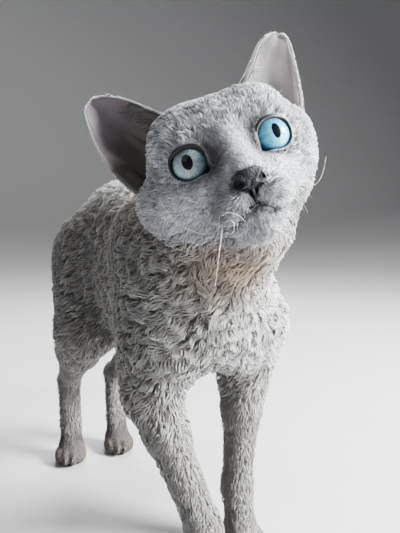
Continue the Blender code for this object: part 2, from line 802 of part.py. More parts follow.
def floor_cutter(cutters):
    """All that lies under the floor."""
    corners = [(x, y, 0) for x in (-400, 400) for y in (-400, 400)]
    return Parting("floor", tuple(corners), (0, 0, -100)).hull(cutters, 0.0)


def in_head(points):
    """The points as left, back and up of the face from between the eyes."""
    return (points - EYE_MIDDLE) @ HEAD_TURN


def curls_grow(points):
    """Where the coat is long enough to curl: the neck behind the head's cut, the trunk and the upper legs."""
    local = in_head(points) / MM
    (high_y, high_z), (low_y, low_z) = HEAD_CUT
    rise, run = high_z - low_z, high_y - low_y
    behind = ((local[:, 1] - low_y) * rise - (local[:, 2] - low_z) * run) / math.hypot(rise, run)
    off_head = (behind > 5.0) | (local[:, 2] < low_z - 5.0)
    off_tail = union_distance(points, tail_blobs()[1:]) > 1.5 * MM
    lower = sum([leg.lower_blobs() for leg in LEGS.values()], [])
    return off_head & off_tail & (union_distance(points, lower) > CURL_CLEAR)


def scattered_roots(body, random):
    """Random places on the mesh, none nearer to another than the curls' spacing."""
    mesh = body.data
    mesh.calc_loop_triangles()
    corners = np.empty(len(mesh.loop_triangles) * 3, np.int32)
    mesh.loop_triangles.foreach_get("vertices", corners)
    a, b, c = mesh_points(mesh)[corners.reshape(-1, 3)].transpose(1, 0, 2)
    area = np.linalg.norm(np.cross(b - a, c - a), axis=1)
    chosen = random.choice(len(area), CURL_SAMPLES, p=area / area.sum())
    u, v = random.random((2, CURL_SAMPLES, 1))
    flip = u + v > 1
    u, v = np.where(flip, 1 - u, u), np.where(flip, 1 - v, v)
    points = a[chosen] + u * (b - a)[chosen] + v * (c - a)[chosen]
    points = points[curls_grow(points)]
    kept = np.empty((0, 3))
    for point in points:
        if not len(kept) or ((kept - point) ** 2).sum(1).min() > CURL_SPACING**2:
            kept = np.vstack([kept, point])
    return kept


def on_legs(points):
    """How far the points are down on the legs, from 0 on the trunk to 1."""
    return np.clip((0.165 - points[:, 2]) / 0.03, 0.0, 1.0)


def lie_of_coat(points, normals, random):
    """Unit ways that the curls lie: back and down along the trunk, down on the legs, each a little astray."""
    low = on_legs(points)[:, None]
    way = (1 - low) * np.array([0.0, 0.85, -0.5]) + low * np.array([0.0, 0.15, -1.0])
    way = way - (way * normals).sum(1)[:, None] * normals
    way /= np.linalg.norm(way, axis=1)[:, None]
    turn = random.normal(0.0, 0.35, len(points))[:, None]
    return np.cos(turn) * way + np.sin(turn) * np.cross(normals, way)


def curl_object(root, normal, way, length, width, height, bend, collection):
    """A rounded curl: from its sunk root it swells up, lies over along its way and turns in at its tip."""
    aside = np.cross(normal, way)
    bm = bmesh.new()
    rings = []
    shape = ((-0.10, -CURL_ROOT / height, 0.62, 0.8), (0.30, 0.36, 1.0, 1.0), (0.80, 0.44, 0.80, 0.86))
    for along, lift, wide, deep in shape:
        middle = root + way * length * (along - 0.3) + normal * height * lift + aside * bend * width * along**2
        ring = []
        for step in range(CURL_SIDES):
            angle = 2 * math.pi * (step + 0.25) / CURL_SIDES
            across = aside * math.cos(angle) * wide * width / 2
            over = normal * math.sin(angle) * deep * height * 0.58
            lean = way * math.sin(angle) * -0.12 * length * deep
            ring.append(bm.verts.new(middle + across + over + lean))
        rings.append(ring)
    tip = bm.verts.new(root + way * length * 0.68 + normal * height * 0.3 + aside * bend * width)
    bm.faces.new(list(reversed(rings[0])))
    for near, far in zip(rings[:-1], rings[1:]):
        for i in range(CURL_SIDES):
            j = (i + 1) % CURL_SIDES
            bm.faces.new((near[i], near[j], far[j], far[i]))
    for i in range(CURL_SIDES):
        bm.faces.new((rings[-1][i], rings[-1][(i + 1) % CURL_SIDES], tip))
    bmesh.ops.recalc_face_normals(bm, faces=bm.faces)
    return object_from(bm, "curl", collection)


def grow_curls(body, blobs):
    """Sets curls close together over the body and fuses them with it."""
    random = np.random.default_rng(SEED)
    curls = new_collection("curls")
    roots = on_surface(scattered_roots(body, random), blobs)
    normals = union_normal(roots, blobs)[1]
    normals /= np.linalg.norm(normals, axis=1)[:, None]
    ways = lie_of_coat(roots, normals, random)
    sizes = 1.0 - 0.25 * on_legs(roots)
    for root, normal, way, size in zip(roots, normals, ways, sizes):
        length, width = size * random.choice(CURL_LENGTHS), size * random.choice(CURL_WIDTHS)
        height, bend = size * CURL_HEIGHT * random.uniform(0.85, 1.15), random.uniform(-0.35, 0.35)
        curl_object(root, normal, way, length, width, height, bend, curls)
    cut(body, curls, "UNION")
    for curl in list(curls.objects):
        bpy.data.objects.remove(curl)
    bpy.data.collections.remove(curls)
    keep_largest(body)


def build_head(blobs, cutters, cat):
    """The head, finer than the body, with its face cut in; and the skin just outside it that seats the ears."""
    near = neck_blobs() + skull_blobs() + muzzle_blobs() + lid_blobs()
    whole = blob_mesh("whole_head", near, HEAD_VOXEL, cutters, blobs)
    seat = copy_of(whole, "ear_seat")
    settle(seat.data, blobs, GAP, 1)
    thin_out(as_cutter(seat), HEAD_TRIANGLES)
    thin_out(as_cutter(whole), HEAD_TRIANGLES)
    head = head_parting().keep_from(whole, "head", cutters)
    cutters.objects.unlink(head)
    cat.objects.link(head)
    head.hide_render = False
    head.display_type = "TEXTURED"
    cut_face(head, blobs, cutters)
    return head, seat


def build_ears(seat, cat):
    """The ears, their roots cut off by the skin of the head with a gap."""
    ears = []
    for side in (-1, 1):
        ear = ear_object(side, cat)
        cut(ear, seat, "DIFFERENCE")
        keep_largest(ear)
        ears.append(ear)
    return ears


def build_eyes(cat):
    """The eyeballs."""
    return [ball("eye_" + name, eye_centre(side), EYE_RADIUS, cat) for name, side in (("right", -1), ("left", 1))]


def part_body(body, cutters):
    """Cuts the legs, paws, tail lengths and neck off the body, and clears the head's place."""
    pieces = []
    head_parting().clear_from(body, cutters)
    pieces.append(neck_parting().take_from(body, cutters))
    mid, tip, base = tail_partings()
    tail = mid.take_from(body, cutters)
    pieces += [tail, tip.take_from(tail, cutters), base.take_from(body, cutters)]
    for name, leg in LEGS.items():
        fore, side = name.startswith("fore"), 1 if name.endswith("left") else -1
        upper_name = name.replace("foreleg", "upper_arm").replace("hind_leg", "thigh")
        paw_name = name.replace("leg", "paw")
        front, back, rise = (-170, -42, 112) if fore else (15, 170, 118)
        upper = leg_parting(upper_name, side, front, back, rise).take_from(body, cutters)
        lower = leg.parting(name).take_from(upper, cutters)
        pieces += [upper, lower, level_parting(paw_name, leg.knuckles, PAW_HEIGHT, 80).take_from(lower, cutters)]
    return pieces


def paint(target, name, colour, roughness):
    """Gives the object a plain material of this colour."""
    material = bpy.data.materials.get(name) or bpy.data.materials.new(name)
    material.use_nodes = True
    shader = material.node_tree.nodes["Principled BSDF"]
    shader.inputs["Base Color"].default_value = colour
    shader.inputs["Roughness"].default_value = roughness
    shader.inputs["Metallic"].default_value = 0.0
    target.data.materials.clear()
    target.data.materials.append(material)
    target.data.shade_smooth()


def clear_scene():
    """Removes the scene's objects."""
    for old in list(bpy.data.objects):
        bpy.data.objects.remove(old)


def new_collection(name):
    """A collection in the scene."""
    made = bpy.data.collections.new(name)
    bpy.context.scene.collection.children.link(made)
    return made


def stand_centred(pieces):
    """Moves the cat so that the middle of its box is over the origin, with its soles on z = 0."""
    everything = np.concatenate([mesh_points(piece.data) for piece in pieces])
    shift = -(everything.min(axis=0) + everything.max(axis=0)) / 2
    shift[2] = 0.0
    for piece in pieces:
        set_points(piece.data, mesh_points(piece.data) + shift)


def main():
    """Builds the cat."""
    clear_scene()
    cat = new_collection("devon_rex_cat")
    cutters = new_collection("cutters")
    blobs = all_blobs()
    head, seat = build_head(blobs, cutters, cat)
    ears = build_ears(seat, cat)
    eyes = build_eyes(cat)
    torso = thin_out(blob_mesh("torso", blobs, BODY_VOXEL, cat), BODY_TRIANGLES)
    cut(torso, floor_cutter(cutters), "DIFFERENCE")
    grow_curls(torso, blobs)
    limbs = part_body(torso, cutters)
    for piece in [head, torso] + limbs:
        if "paw" in piece.name or piece.name == "tail_tip":
            paint(piece, "points", POINT_GREY, 0.9)
        else:
            paint(piece, "coat", FUR_GREY, 0.9)
    for piece in ears:
        paint(piece, "ear_skin", EAR_GREY, 0.7)
    for piece in eyes:
        paint(piece, "iris", IRIS_BLUE, 0.1)
    stand_centred([head, torso] + limbs + ears + eyes)
    for guide in list(cutters.objects):
        bpy.data.objects.remove(guide)
    bpy.context.view_layer.update()


if __name__ == "__main__":
    main()
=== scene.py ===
"""Museum-like display model of a standing devon rex cat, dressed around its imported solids.

Metres, +Z up. The cat faces -Y and its left side is +X, with the soles on z = 0. The flesh is a smooth
union of ellipsoids and tapered limbs. One skin lies a little inside it, and the coat is made of thin
curved tufts whose roots stand on that skin. Skin and tufts take their colours from the same markings.
"""

import logging
import math
from collections.abc import Callable
from dataclasses import astuple, dataclass, field, fields
from enum import Enum

import bpy
import numpy as np
from mathutils import Matrix, Vector


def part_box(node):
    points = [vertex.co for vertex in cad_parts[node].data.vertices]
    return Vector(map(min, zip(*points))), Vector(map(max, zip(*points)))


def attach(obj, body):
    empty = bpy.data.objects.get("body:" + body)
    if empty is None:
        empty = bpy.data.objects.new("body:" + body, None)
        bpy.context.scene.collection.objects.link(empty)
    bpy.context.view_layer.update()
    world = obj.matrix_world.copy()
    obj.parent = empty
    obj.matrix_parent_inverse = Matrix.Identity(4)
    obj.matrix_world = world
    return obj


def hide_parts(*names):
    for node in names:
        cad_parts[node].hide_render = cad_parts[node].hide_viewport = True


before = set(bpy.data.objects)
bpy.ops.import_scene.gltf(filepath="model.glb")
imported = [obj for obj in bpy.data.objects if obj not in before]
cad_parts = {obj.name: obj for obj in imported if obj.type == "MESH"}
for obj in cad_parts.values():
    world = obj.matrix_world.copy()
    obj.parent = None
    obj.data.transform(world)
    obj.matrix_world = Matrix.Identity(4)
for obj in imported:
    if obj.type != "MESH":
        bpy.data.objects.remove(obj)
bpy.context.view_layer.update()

log = logging.getLogger("devon_rex")

Array = np.ndarray
Measure = Callable[[Array], Array]
Triple = tuple[float, float, float]
Socket = bpy.types.NodeSocket
MM = 0.001
BODY = "root"
FLESH_NODES = (
    "head", "neck", "torso", "tail_base", "tail_mid", "tail_tip", "upper_arm_left", "upper_arm_right",
    "foreleg_left", "foreleg_right", "forepaw_left", "forepaw_right", "thigh_left", "thigh_right",
    "hind_leg_left", "hind_leg_right", "hind_paw_left", "hind_paw_right",
)


def turned(pitch: float = 0.0, roll: float = 0.0, yaw: float = 0.0) -> Array:
    """Rotation matrix: rolled about Y, then pitched about X, then turned about Z, all in degrees."""
    a, b, c = np.radians([pitch, roll, yaw])
    about_x = np.array([[1, 0, 0], [0, math.cos(a), -math.sin(a)], [0, math.sin(a), math.cos(a)]])
    about_y = np.array([[math.cos(b), 0, math.sin(b)], [0, 1, 0], [-math.sin(b), 0, math.cos(b)]])
    about_z = np.array([[math.cos(c), -math.sin(c), 0], [math.sin(c), math.cos(c), 0], [0, 0, 1]])
    return about_z @ about_x @ about_y


def unit(vectors: Array) -> Array:
    """The vectors at length one."""
    return vectors / np.maximum(np.linalg.norm(vectors, axis=-1, keepdims=True), 1e-12)


def ease(values: Array, low: float, high: float) -> Array:
    """Smooth step: 0 below low, 1 above high, and 3t^2 - 2t^3 between."""
    t = np.clip((values - low) / (high - low), 0.0, 1.0)
    return t * t * (3 - 2 * t)


def smooth_rows(knots: Array, rows: Array, at: Array) -> Array:
    """Cubic curve through the rows, whose slope at each comes from the rows beside it.

    Args:
        knots: Where each row stands.
        rows: The values there, one row each.
        at: Where the curve is read.

    Returns:
        One row of values for each place in at.
    """
    knots, rows = np.array(knots, float), np.array(rows, float)
    slopes = np.gradient(rows, knots, axis=0)
    step = np.clip(np.searchsorted(knots, at, side="right") - 1, 0, len(knots) - 2)
    width = (knots[step + 1] - knots[step])[:, None]
    t = ((at - knots[step]) / width[:, 0])[:, None]
    return (
        (2 * t**3 - 3 * t**2 + 1) * rows[step] + (t**3 - 2 * t**2 + t) * width * slopes[step]
        + (3 * t**2 - 2 * t**3) * rows[step + 1] + (t**3 - t**2) * width * slopes[step + 1]
    )


def cut_from(distance: Array, cutter: Array, width: float) -> Array:
    """The larger of the distance and minus the cutter's, rounded over a width: the cutter is taken away."""
    other = -cutter
    near = np.maximum(width - np.abs(distance - other), 0.0)
    return np.maximum(distance, other) + near * near / (4 * width)


@dataclass(frozen=True)
class Ellipsoid:
    """A stretched ball: centre, radii along its own axes, those axes as columns, and its blend width."""

    centre: Array
    radii: Array
    turn: Array
    blend: float

    def reach(self) -> tuple[Array, float]:
        """Centre and radius of a ball that holds it."""
        return self.centre, float(self.radii.max())

    def distance(self, points: Array) -> Array:
        """Distance to the surface: the stretched length less one, over the slope of that length."""
        local = (points - self.centre) @ self.turn / self.radii
        length = np.linalg.norm(local, axis=1)
        slope = np.linalg.norm(local / self.radii, axis=1)
        return length * (length - 1.0) / np.maximum(slope, 1e-9)


@dataclass(frozen=True)
class Limb:
    """A rounded tapered bar from start to end."""

    start: Array
    end: Array
    radius_start: float
    radius_end: float
    blend: float

    def reach(self) -> tuple[Array, float]:
        """Centre and radius of a ball that holds it."""
        half = float(np.linalg.norm(self.end - self.start)) / 2
        return (self.start + self.end) / 2, half + max(self.radius_start, self.radius_end)

    def along(self, points: Array) -> tuple[Array, Array]:
        """How far along the bar each point is, from 0 to 1, and its distance from the bar's line."""
        span = self.end - self.start
        share = np.clip((points - self.start) @ span / (span @ span), 0.0, 1.0)
        return share, np.linalg.norm(points - self.start - share[:, None] * span, axis=1)

    def distance(self, points: Array) -> Array:
        """Distance to the bar's line less the radius there."""
        share, away = self.along(points)
        return away - (self.radius_start + share * (self.radius_end - self.radius_start))


Blob = Ellipsoid | Limb


@dataclass
class Field:
    """Smooth union of blobs, as a distance that is negative inside."""

    blobs: list[Blob]
    far: float = 30 * MM

    def distance(self, points: Array) -> Array:
        """Union taken blob by blob: the smaller distance, less (w - gap)^2 / 4w where two are nearer than w.

        Args:
            points: Places, one a row.

        Returns:
            The distance of each place, at most the far limit.
        """
        total = np.full(len(points), self.far)
        for blob in self.blobs:
            centre, radius = blob.reach()
            offset = points - centre
            close = np.flatnonzero((offset * offset).sum(1) < (radius + self.far) ** 2)
            if not len(close):
                continue
            own, other = blob.distance(points[close]), total[close]
            near = np.maximum(blob.blend - np.abs(other - own), 0.0) / blob.blend
            total[close] = np.minimum(other, own) - near * near * blob.blend / 4.0
        return total


def slope_of(distance: Measure, points: Array, step: float) -> tuple[Array, Array]:
    """Distance and its slope by small steps along X, Y and Z."""
    here = distance(points)
    return here, np.stack([(distance(points + step * np.eye(3)[i]) - here) / step for i in range(3)], axis=1)


@dataclass(frozen=True)
class Trunk:
    """The trunk's line: an arc seen from above, with the hips along +Y and the shoulders turned right."""

    middle: tuple[float, float] = (4.0, 0.0)
    turn: float = 7.0
    bend: float = 60.0

    def heading(self, along: float) -> float:
        """Heading in degrees at a distance in mm forward of the middle."""
        return self.turn + self.bend * along * MM

    def point(self, along: float, side: float, height: float) -> Array:
        """Place at a distance forward along the arc, to the cat's left of it and above the floor, in mm."""
        here, base, bend = math.radians(self.heading(along)), math.radians(self.turn), math.radians(self.bend)
        x = (math.cos(here) - math.cos(base)) / bend + side * MM * math.cos(here)
        y = -(math.sin(here) - math.sin(base)) / bend - side * MM * math.sin(here)
        return np.array([x + self.middle[0] * MM, y + self.middle[1] * MM, height * MM])

    def blob(
        self, along: float, side: float, height: float, radii: Triple,
        pitch: float = 0.0, blend: float = 22.0,
    ) -> Ellipsoid:
        """Ellipsoid on the trunk, its radii across, along and up, in mm."""
        turn = turned(pitch, 0.0, -self.heading(along))
        return Ellipsoid(self.point(along, side, height), np.array(radii) * MM, turn, blend * MM)


@dataclass(frozen=True)
class Head:
    """The head's own axes: left, back and up of the face, from the point between the eyes."""

    eye_middle: Triple = (-33.8, -149.2, 255.4)
    pitch: float = -6.0
    roll: float = -20.0
    yaw: float = -32.5
    cut: tuple = ((96.0, 70.0), (21.0, -50.0))
    muzzle_side: float = -1.4

    @property
    def turn(self) -> Array:
        """The head's axes as columns."""
        return turned(self.pitch, self.roll, self.yaw)

    def place(self, local: Array) -> Array:
        """Points of the head in mm, brought to the body's frame."""
        return np.array(self.eye_middle) * MM + np.asarray(local, float) * MM @ self.turn.T

    def local(self, points: Array) -> Array:
        """Points as left, back and up of the face, in mm."""
        return (points - np.array(self.eye_middle) * MM) @ self.turn / MM

    def behind(self, points: Array) -> Array:
        """How far in mm the points are behind the plane that runs from above the nape to the throat."""
        local = self.local(points)
        (high_y, high_z), (low_y, low_z) = self.cut
        rise, run = high_z - low_z, high_y - low_y
        return ((local[:, 1] - low_y) * rise - (local[:, 2] - low_z) * run) / math.hypot(rise, run)

    def blob(
        self, x: float, y: float, z: float, radii: Triple,
        pitch: float = 0.0, roll: float = 0.0, yaw: float = 0.0, blend: float = 9.0,
    ) -> Ellipsoid:
        """Ellipsoid on the head, with its own turn in degrees."""
        turn = self.turn @ turned(pitch, roll, yaw)
        return Ellipsoid(self.place((x, y, z)), np.array(radii) * MM, turn, blend * MM)

    def limb(
        self, start: Triple, end: Triple, radius_start: float, radius_end: float, blend: float = 6.0
    ) -> Limb:
        """Tapered bar on the head, in mm."""
        return Limb(self.place(start), self.place(end), radius_start * MM, radius_end * MM, blend * MM)


def bar(start: Array, end: Array, radius_start: float, radius_end: float, blend: float = 14.0) -> Limb:
    """Tapered bar in the body's frame, in mm."""
    return Limb(np.array(start) * MM, np.array(end) * MM, radius_start * MM, radius_end * MM, blend * MM)


@dataclass(frozen=True)
class Paw:
    """A paw under its knuckles: a pad, and four toes side by side."""

    knuckles: Triple
    heading: float
    toes: tuple = ((-9.6, -10.5, 10.0), (-3.5, -15.0, 3.0), (3.5, -15.0, -3.0), (9.6, -10.5, -10.0))

    def place(self, local: Array) -> Array:
        """Points from the middle of the sole, in mm, brought to the body's frame in mm."""
        middle = np.array([self.knuckles[0], self.knuckles[1], 0.0])
        return middle + np.asarray(local, float) @ turned(yaw=self.heading).T

    def blobs(self) -> list[Blob]:
        """The pad and the toes."""
        turn = turned(yaw=self.heading)
        blobs: list[Blob] = [
            Ellipsoid(self.place((0, -3, 9.5)) * MM, np.array([12.5, 15.5, 10.5]) * MM, turn, 6 * MM)
        ]
        for across, forward, splay in self.toes:
            toe = turn @ turned(yaw=splay)
            blobs.append(Ellipsoid(
                self.place((across, forward, 7.0)) * MM, np.array([4.6, 9.0, 7.4]) * MM, toe, 2.2 * MM
            ))
        return blobs


@dataclass(frozen=True)
class Leg:
    """A leg's joints in mm, its bars' radii at each end with their blends, and its paw."""

    joints: tuple
    bars: tuple
    paw: Paw

    def stations(self) -> list[Array]:
        """The joints with the muscle's end put in below the second."""
        upper, second, third = (np.array(joint, float) for joint in self.joints)
        share = 0.35 if self.hind else 0.3
        return [upper, second, second + share * (third - second), third, np.array(self.paw.knuckles, float)]

    @property
    def hind(self) -> bool:
        """Whether it is a hind leg."""
        return self.joints[0][1] > 0

    def blobs(self) -> list[Blob]:
        """The leg's bars and its paw."""
        stations = self.stations()
        made = [bar(a, b, *sizes) for a, b, sizes in zip(stations[:-1], stations[1:], self.bars)]
        return made + self.paw.blobs()


FORE_BARS = ((21, 15, 18), (13.2, 12.4, 10), (12.2, 9.4, 8), (9.8, 10.2, 7))
HIND_BARS = ((26, 20, 20), (18.5, 16, 14), (15.5, 8.6, 10), (9.6, 9.6, 7))


@dataclass(frozen=True)
class Tail:
    """The tail as a chain of bars on a smooth curve through its route, in mm."""

    route: tuple = (
        (8, 106, 219), (22, 133, 210), (42, 150, 196), (66, 156, 183), (90, 149, 173),
        (109, 131, 169), (120, 107, 173), (124, 83, 184), (120, 64, 200),
    )
    radii: tuple = (13.0, 10.6, 9.4, 8.7, 8.1, 7.6, 7.0, 6.3, 5.0)
    bars: int = 20

    def blobs(self) -> list[Blob]:
        """The bars."""
        rows = np.column_stack([self.route, self.radii])
        at = np.linspace(0, len(rows) - 1, self.bars + 1)
        stations = smooth_rows(np.arange(len(rows)), rows, at)
        pairs = enumerate(zip(stations[:-1], stations[1:]))
        return [bar(a[:3], b[:3], a[3], b[3], 4 if i else 16) for i, (a, b) in pairs]


@dataclass
class CatShape:
    """Every blob of the cat but the ears, at the solids' own places and sizes."""

    trunk: Trunk = field(default_factory=Trunk)
    head: Head = field(default_factory=Head)
    tail: Tail = field(default_factory=Tail)
    eye_side: float = 18.9
    eye_radius: float = 10.8
    lid_thickness: float = 1.9
    legs: tuple = (
        Leg(((33, -86, 160), (38, -72, 116), (31, -74, 40)), FORE_BARS, Paw((29, -80, 16), -14)),
        Leg(((-32, -84, 162), (-38, -76, 120), (-18, -104, 42)), FORE_BARS, Paw((-14, -113, 16), -24)),
        Leg(((27, 80, 196), (40, 46, 136), (27, 122, 72)), HIND_BARS, Paw((22, 107, 16), -14)),
        Leg(((-13, 80, 196), (-31, 48, 136), (-20, 123, 72)), HIND_BARS, Paw((-23, 111, 16), -26)),
    )

    def trunk_blobs(self) -> list[Blob]:
        """Chest, rib cage, loin, belly, hips, shoulders and haunches."""
        blob = self.trunk.blob
        blobs = [
            blob(22, 0, 188, (37, 72, 55)), blob(84, 0, 178, (33, 35, 42)), blob(62, 0, 218, (22, 44, 26)),
            blob(-34, 0, 213, (31, 60, 42)), blob(-12, 0, 170, (32, 58, 43)),
            blob(-68, 0, 215, (28.5, 37, 36.5)), blob(-88, 0, 204, (22, 24, 27)),
        ]
        for side in (-1, 1):
            blobs.append(blob(58, 25 * side, 192, (16, 29, 43), -16, 18))
            blobs.append(blob(84, 24 * side, 163, (17, 22, 30), -8, 18))
            blobs.append(blob(-66, 27 * side - 4, 176, (19, 37, 47), 16, 18))
        return blobs

    def neck_blobs(self) -> list[Blob]:
        """Neck from the withers and the chest to the skull and the throat."""
        nape, throat = self.head.place((0, 50, -4)), self.head.place((0, 26, -32))
        return [
            Limb(self.trunk.point(64, 0, 206), nape, 32 * MM, 25 * MM, 20 * MM),
            Limb(self.trunk.point(88, 0, 192), throat, 36 * MM, 23 * MM, 20 * MM),
        ]

    def skull_blobs(self) -> list[Blob]:
        """Braincase, forehead, temples, cheekbones, cheeks and the sides of the nose."""
        blob = self.head.blob
        blobs = [
            blob(0, 33, 9, (35, 33, 27), blend=12), blob(0, 10, 12, (25, 18, 17), pitch=12, blend=10),
            blob(-23.5, 21, -18.5, (16.5, 19, 15), blend=10), blob(20, 20, -18, (16, 18.5, 14.5), blend=10),
            blob(-34.5, 25, -9, (16, 15, 14.5), blend=9), blob(32, 16, 2, (12.5, 15, 14), blend=9),
        ]
        for side in (-1, 1):
            blobs += [
                blob(26 * side, 13, -10, (14, 16, 12), yaw=-10 * side, blend=10),
                blob(22 * side, 21, 9, (12, 17, 13), blend=9),
                blob(18.5 * side, 14, 20.8, (13, 14, 10.5), blend=8),
                blob(13 * side, -2, -17, (13, 18, 12), yaw=-18 * side, blend=8),
                blob(18 * side, 1, 11, (12, 6, 4.5), roll=10 * side, blend=7),
                blob(22 * side, 0, -12, (12, 7, 4.5), roll=-6 * side, blend=7),
            ]
        return blobs

    def muzzle_blobs(self) -> list[Blob]:
        """Nose bridge, nose, whisker pads, lower lip, chin and jaw."""
        blob, limb, mid = self.head.blob, self.head.limb, self.head.muzzle_side
        blobs: list[Blob] = [
            limb((0, -4, 2), (mid, -25.0, -13.5), 9.5, 6.6, 8),
            blob(mid, -12, -21, (16, 15, 12), blend=8),
            blob(mid, -16, -35.5, (9, 8, 7), pitch=-8, blend=5),
            limb((mid, -10, -34.5), (0, 20, -30), 8.6, 16, 8),
            blob(mid, -29.8, -17.8, (6.4, 4.2, 4.8), pitch=20, blend=3),
        ]
        for side in (-1, 1):
            blobs += [
                blob(
                    mid + 8.2 * side, -21.5, -25.4, (10.2, 9.6, 8.2), yaw=-14 * side, roll=8 * side, blend=4
                ),
                blob(mid + 4.6 * side, -30.2, -19.0, (2.8, 3.0, 3.0), blend=2),
                limb((mid, -23.6, -33.2), (mid + 7 * side, -20.5, -34.8), 2.3, 2.2, 2),
                limb((mid + 7 * side, -20.5, -34.8), (mid + 14 * side, -11.5, -35.2), 2.2, 1.8, 2),
            ]
        return blobs

    def lid_blobs(self) -> list[Blob]:
        """A thin ball round each eye, which the lids are cut from."""
        radii, head = np.full(3, self.eye_radius + self.lid_thickness) * MM, self.head
        return [Ellipsoid(head.place((s * self.eye_side, 0, 0)), radii, head.turn, 5 * MM) for s in (-1, 1)]

    def blobs(self) -> list[Blob]:
        """All of them, in the order that the smooth union takes them."""
        legs = sum([leg.blobs() for leg in self.legs], [])
        face = self.skull_blobs() + self.muzzle_blobs() + self.lid_blobs()
        return self.trunk_blobs() + legs + self.tail.blobs() + self.neck_blobs() + face


@dataclass(frozen=True)
class EyeSeat:
    """Where an eye sits and looks, and the opening of its lids. Lengths in mm."""

    shape: CatShape
    side: int
    divergence: float = 13.0
    rise: float = 4.0
    lid_radius: float = 8.2
    corner_angle: float = -38.0
    corner_length: float = 2.4
    outer_length: float = 0.8
    flattening: tuple[float, float] = (1.1, 0.5)
    flare: tuple[float, float] = (0.92, 0.015)

    @property
    def centre(self) -> Array:
        """Middle of the eyeball."""
        return self.shape.head.place((self.side * self.shape.eye_side, 0, 0))

    @property
    def axes(self) -> Array:
        """Left, back and up of the eye as columns, with minus back along the gaze."""
        return self.shape.head.turn @ turned(-self.rise, 0.0, self.side * self.divergence)

    def radius_at(self, angle: Array) -> Array:
        """Opening at an angle from the nose side: a circle flattened above and below, with two corners."""
        inner, outer = self.from_corner(angle), self.from_corner(angle - math.pi)
        radius = self.lid_radius + self.corner_length * np.exp(-((inner / 0.30) ** 2))
        above, below = self.flattening
        radius = radius - np.where(np.sin(angle) > 0, above, below) * np.sin(angle) ** 2
        return radius + self.outer_length * np.exp(-((outer / 0.45) ** 2))

    def from_corner(self, angle: Array) -> Array:
        """Angle from the inner corner, between minus and plus half a turn."""
        return np.angle(np.exp(1j * (angle - math.radians(self.corner_angle))))

    def opening(self, points: Array) -> Array:
        """Distance to a flaring plug along the gaze, negative inside, whose outline is the opening."""
        local = (points - self.centre) @ self.axes / MM
        depth, angle = -local[:, 1], np.arctan2(local[:, 2], -self.side * local[:, 0])
        flare = self.flare[0] + self.flare[1] * depth
        plug = np.hypot(local[:, 0], local[:, 2]) - self.radius_at(angle) * flare
        return np.maximum(plug, 2.0 - depth) * MM

    def ring(self, angle: Array, out: float, grow: float = 0.0) -> Array:
        """The lids' edge on a ball that stands out from the eyeball: r = radius * flare(depth)."""
        ball = self.shape.eye_radius + out
        depth = np.full(len(angle), ball * 0.6)
        for _ in range(8):
            radius = (self.radius_at(angle) + grow) * (self.flare[0] + self.flare[1] * depth)
            depth = np.sqrt(np.maximum(ball**2 - radius**2, 1.0))
        local = np.stack([-self.side * radius * np.cos(angle), -depth, radius * np.sin(angle)], axis=1)
        return self.centre + local * MM @ self.axes.T


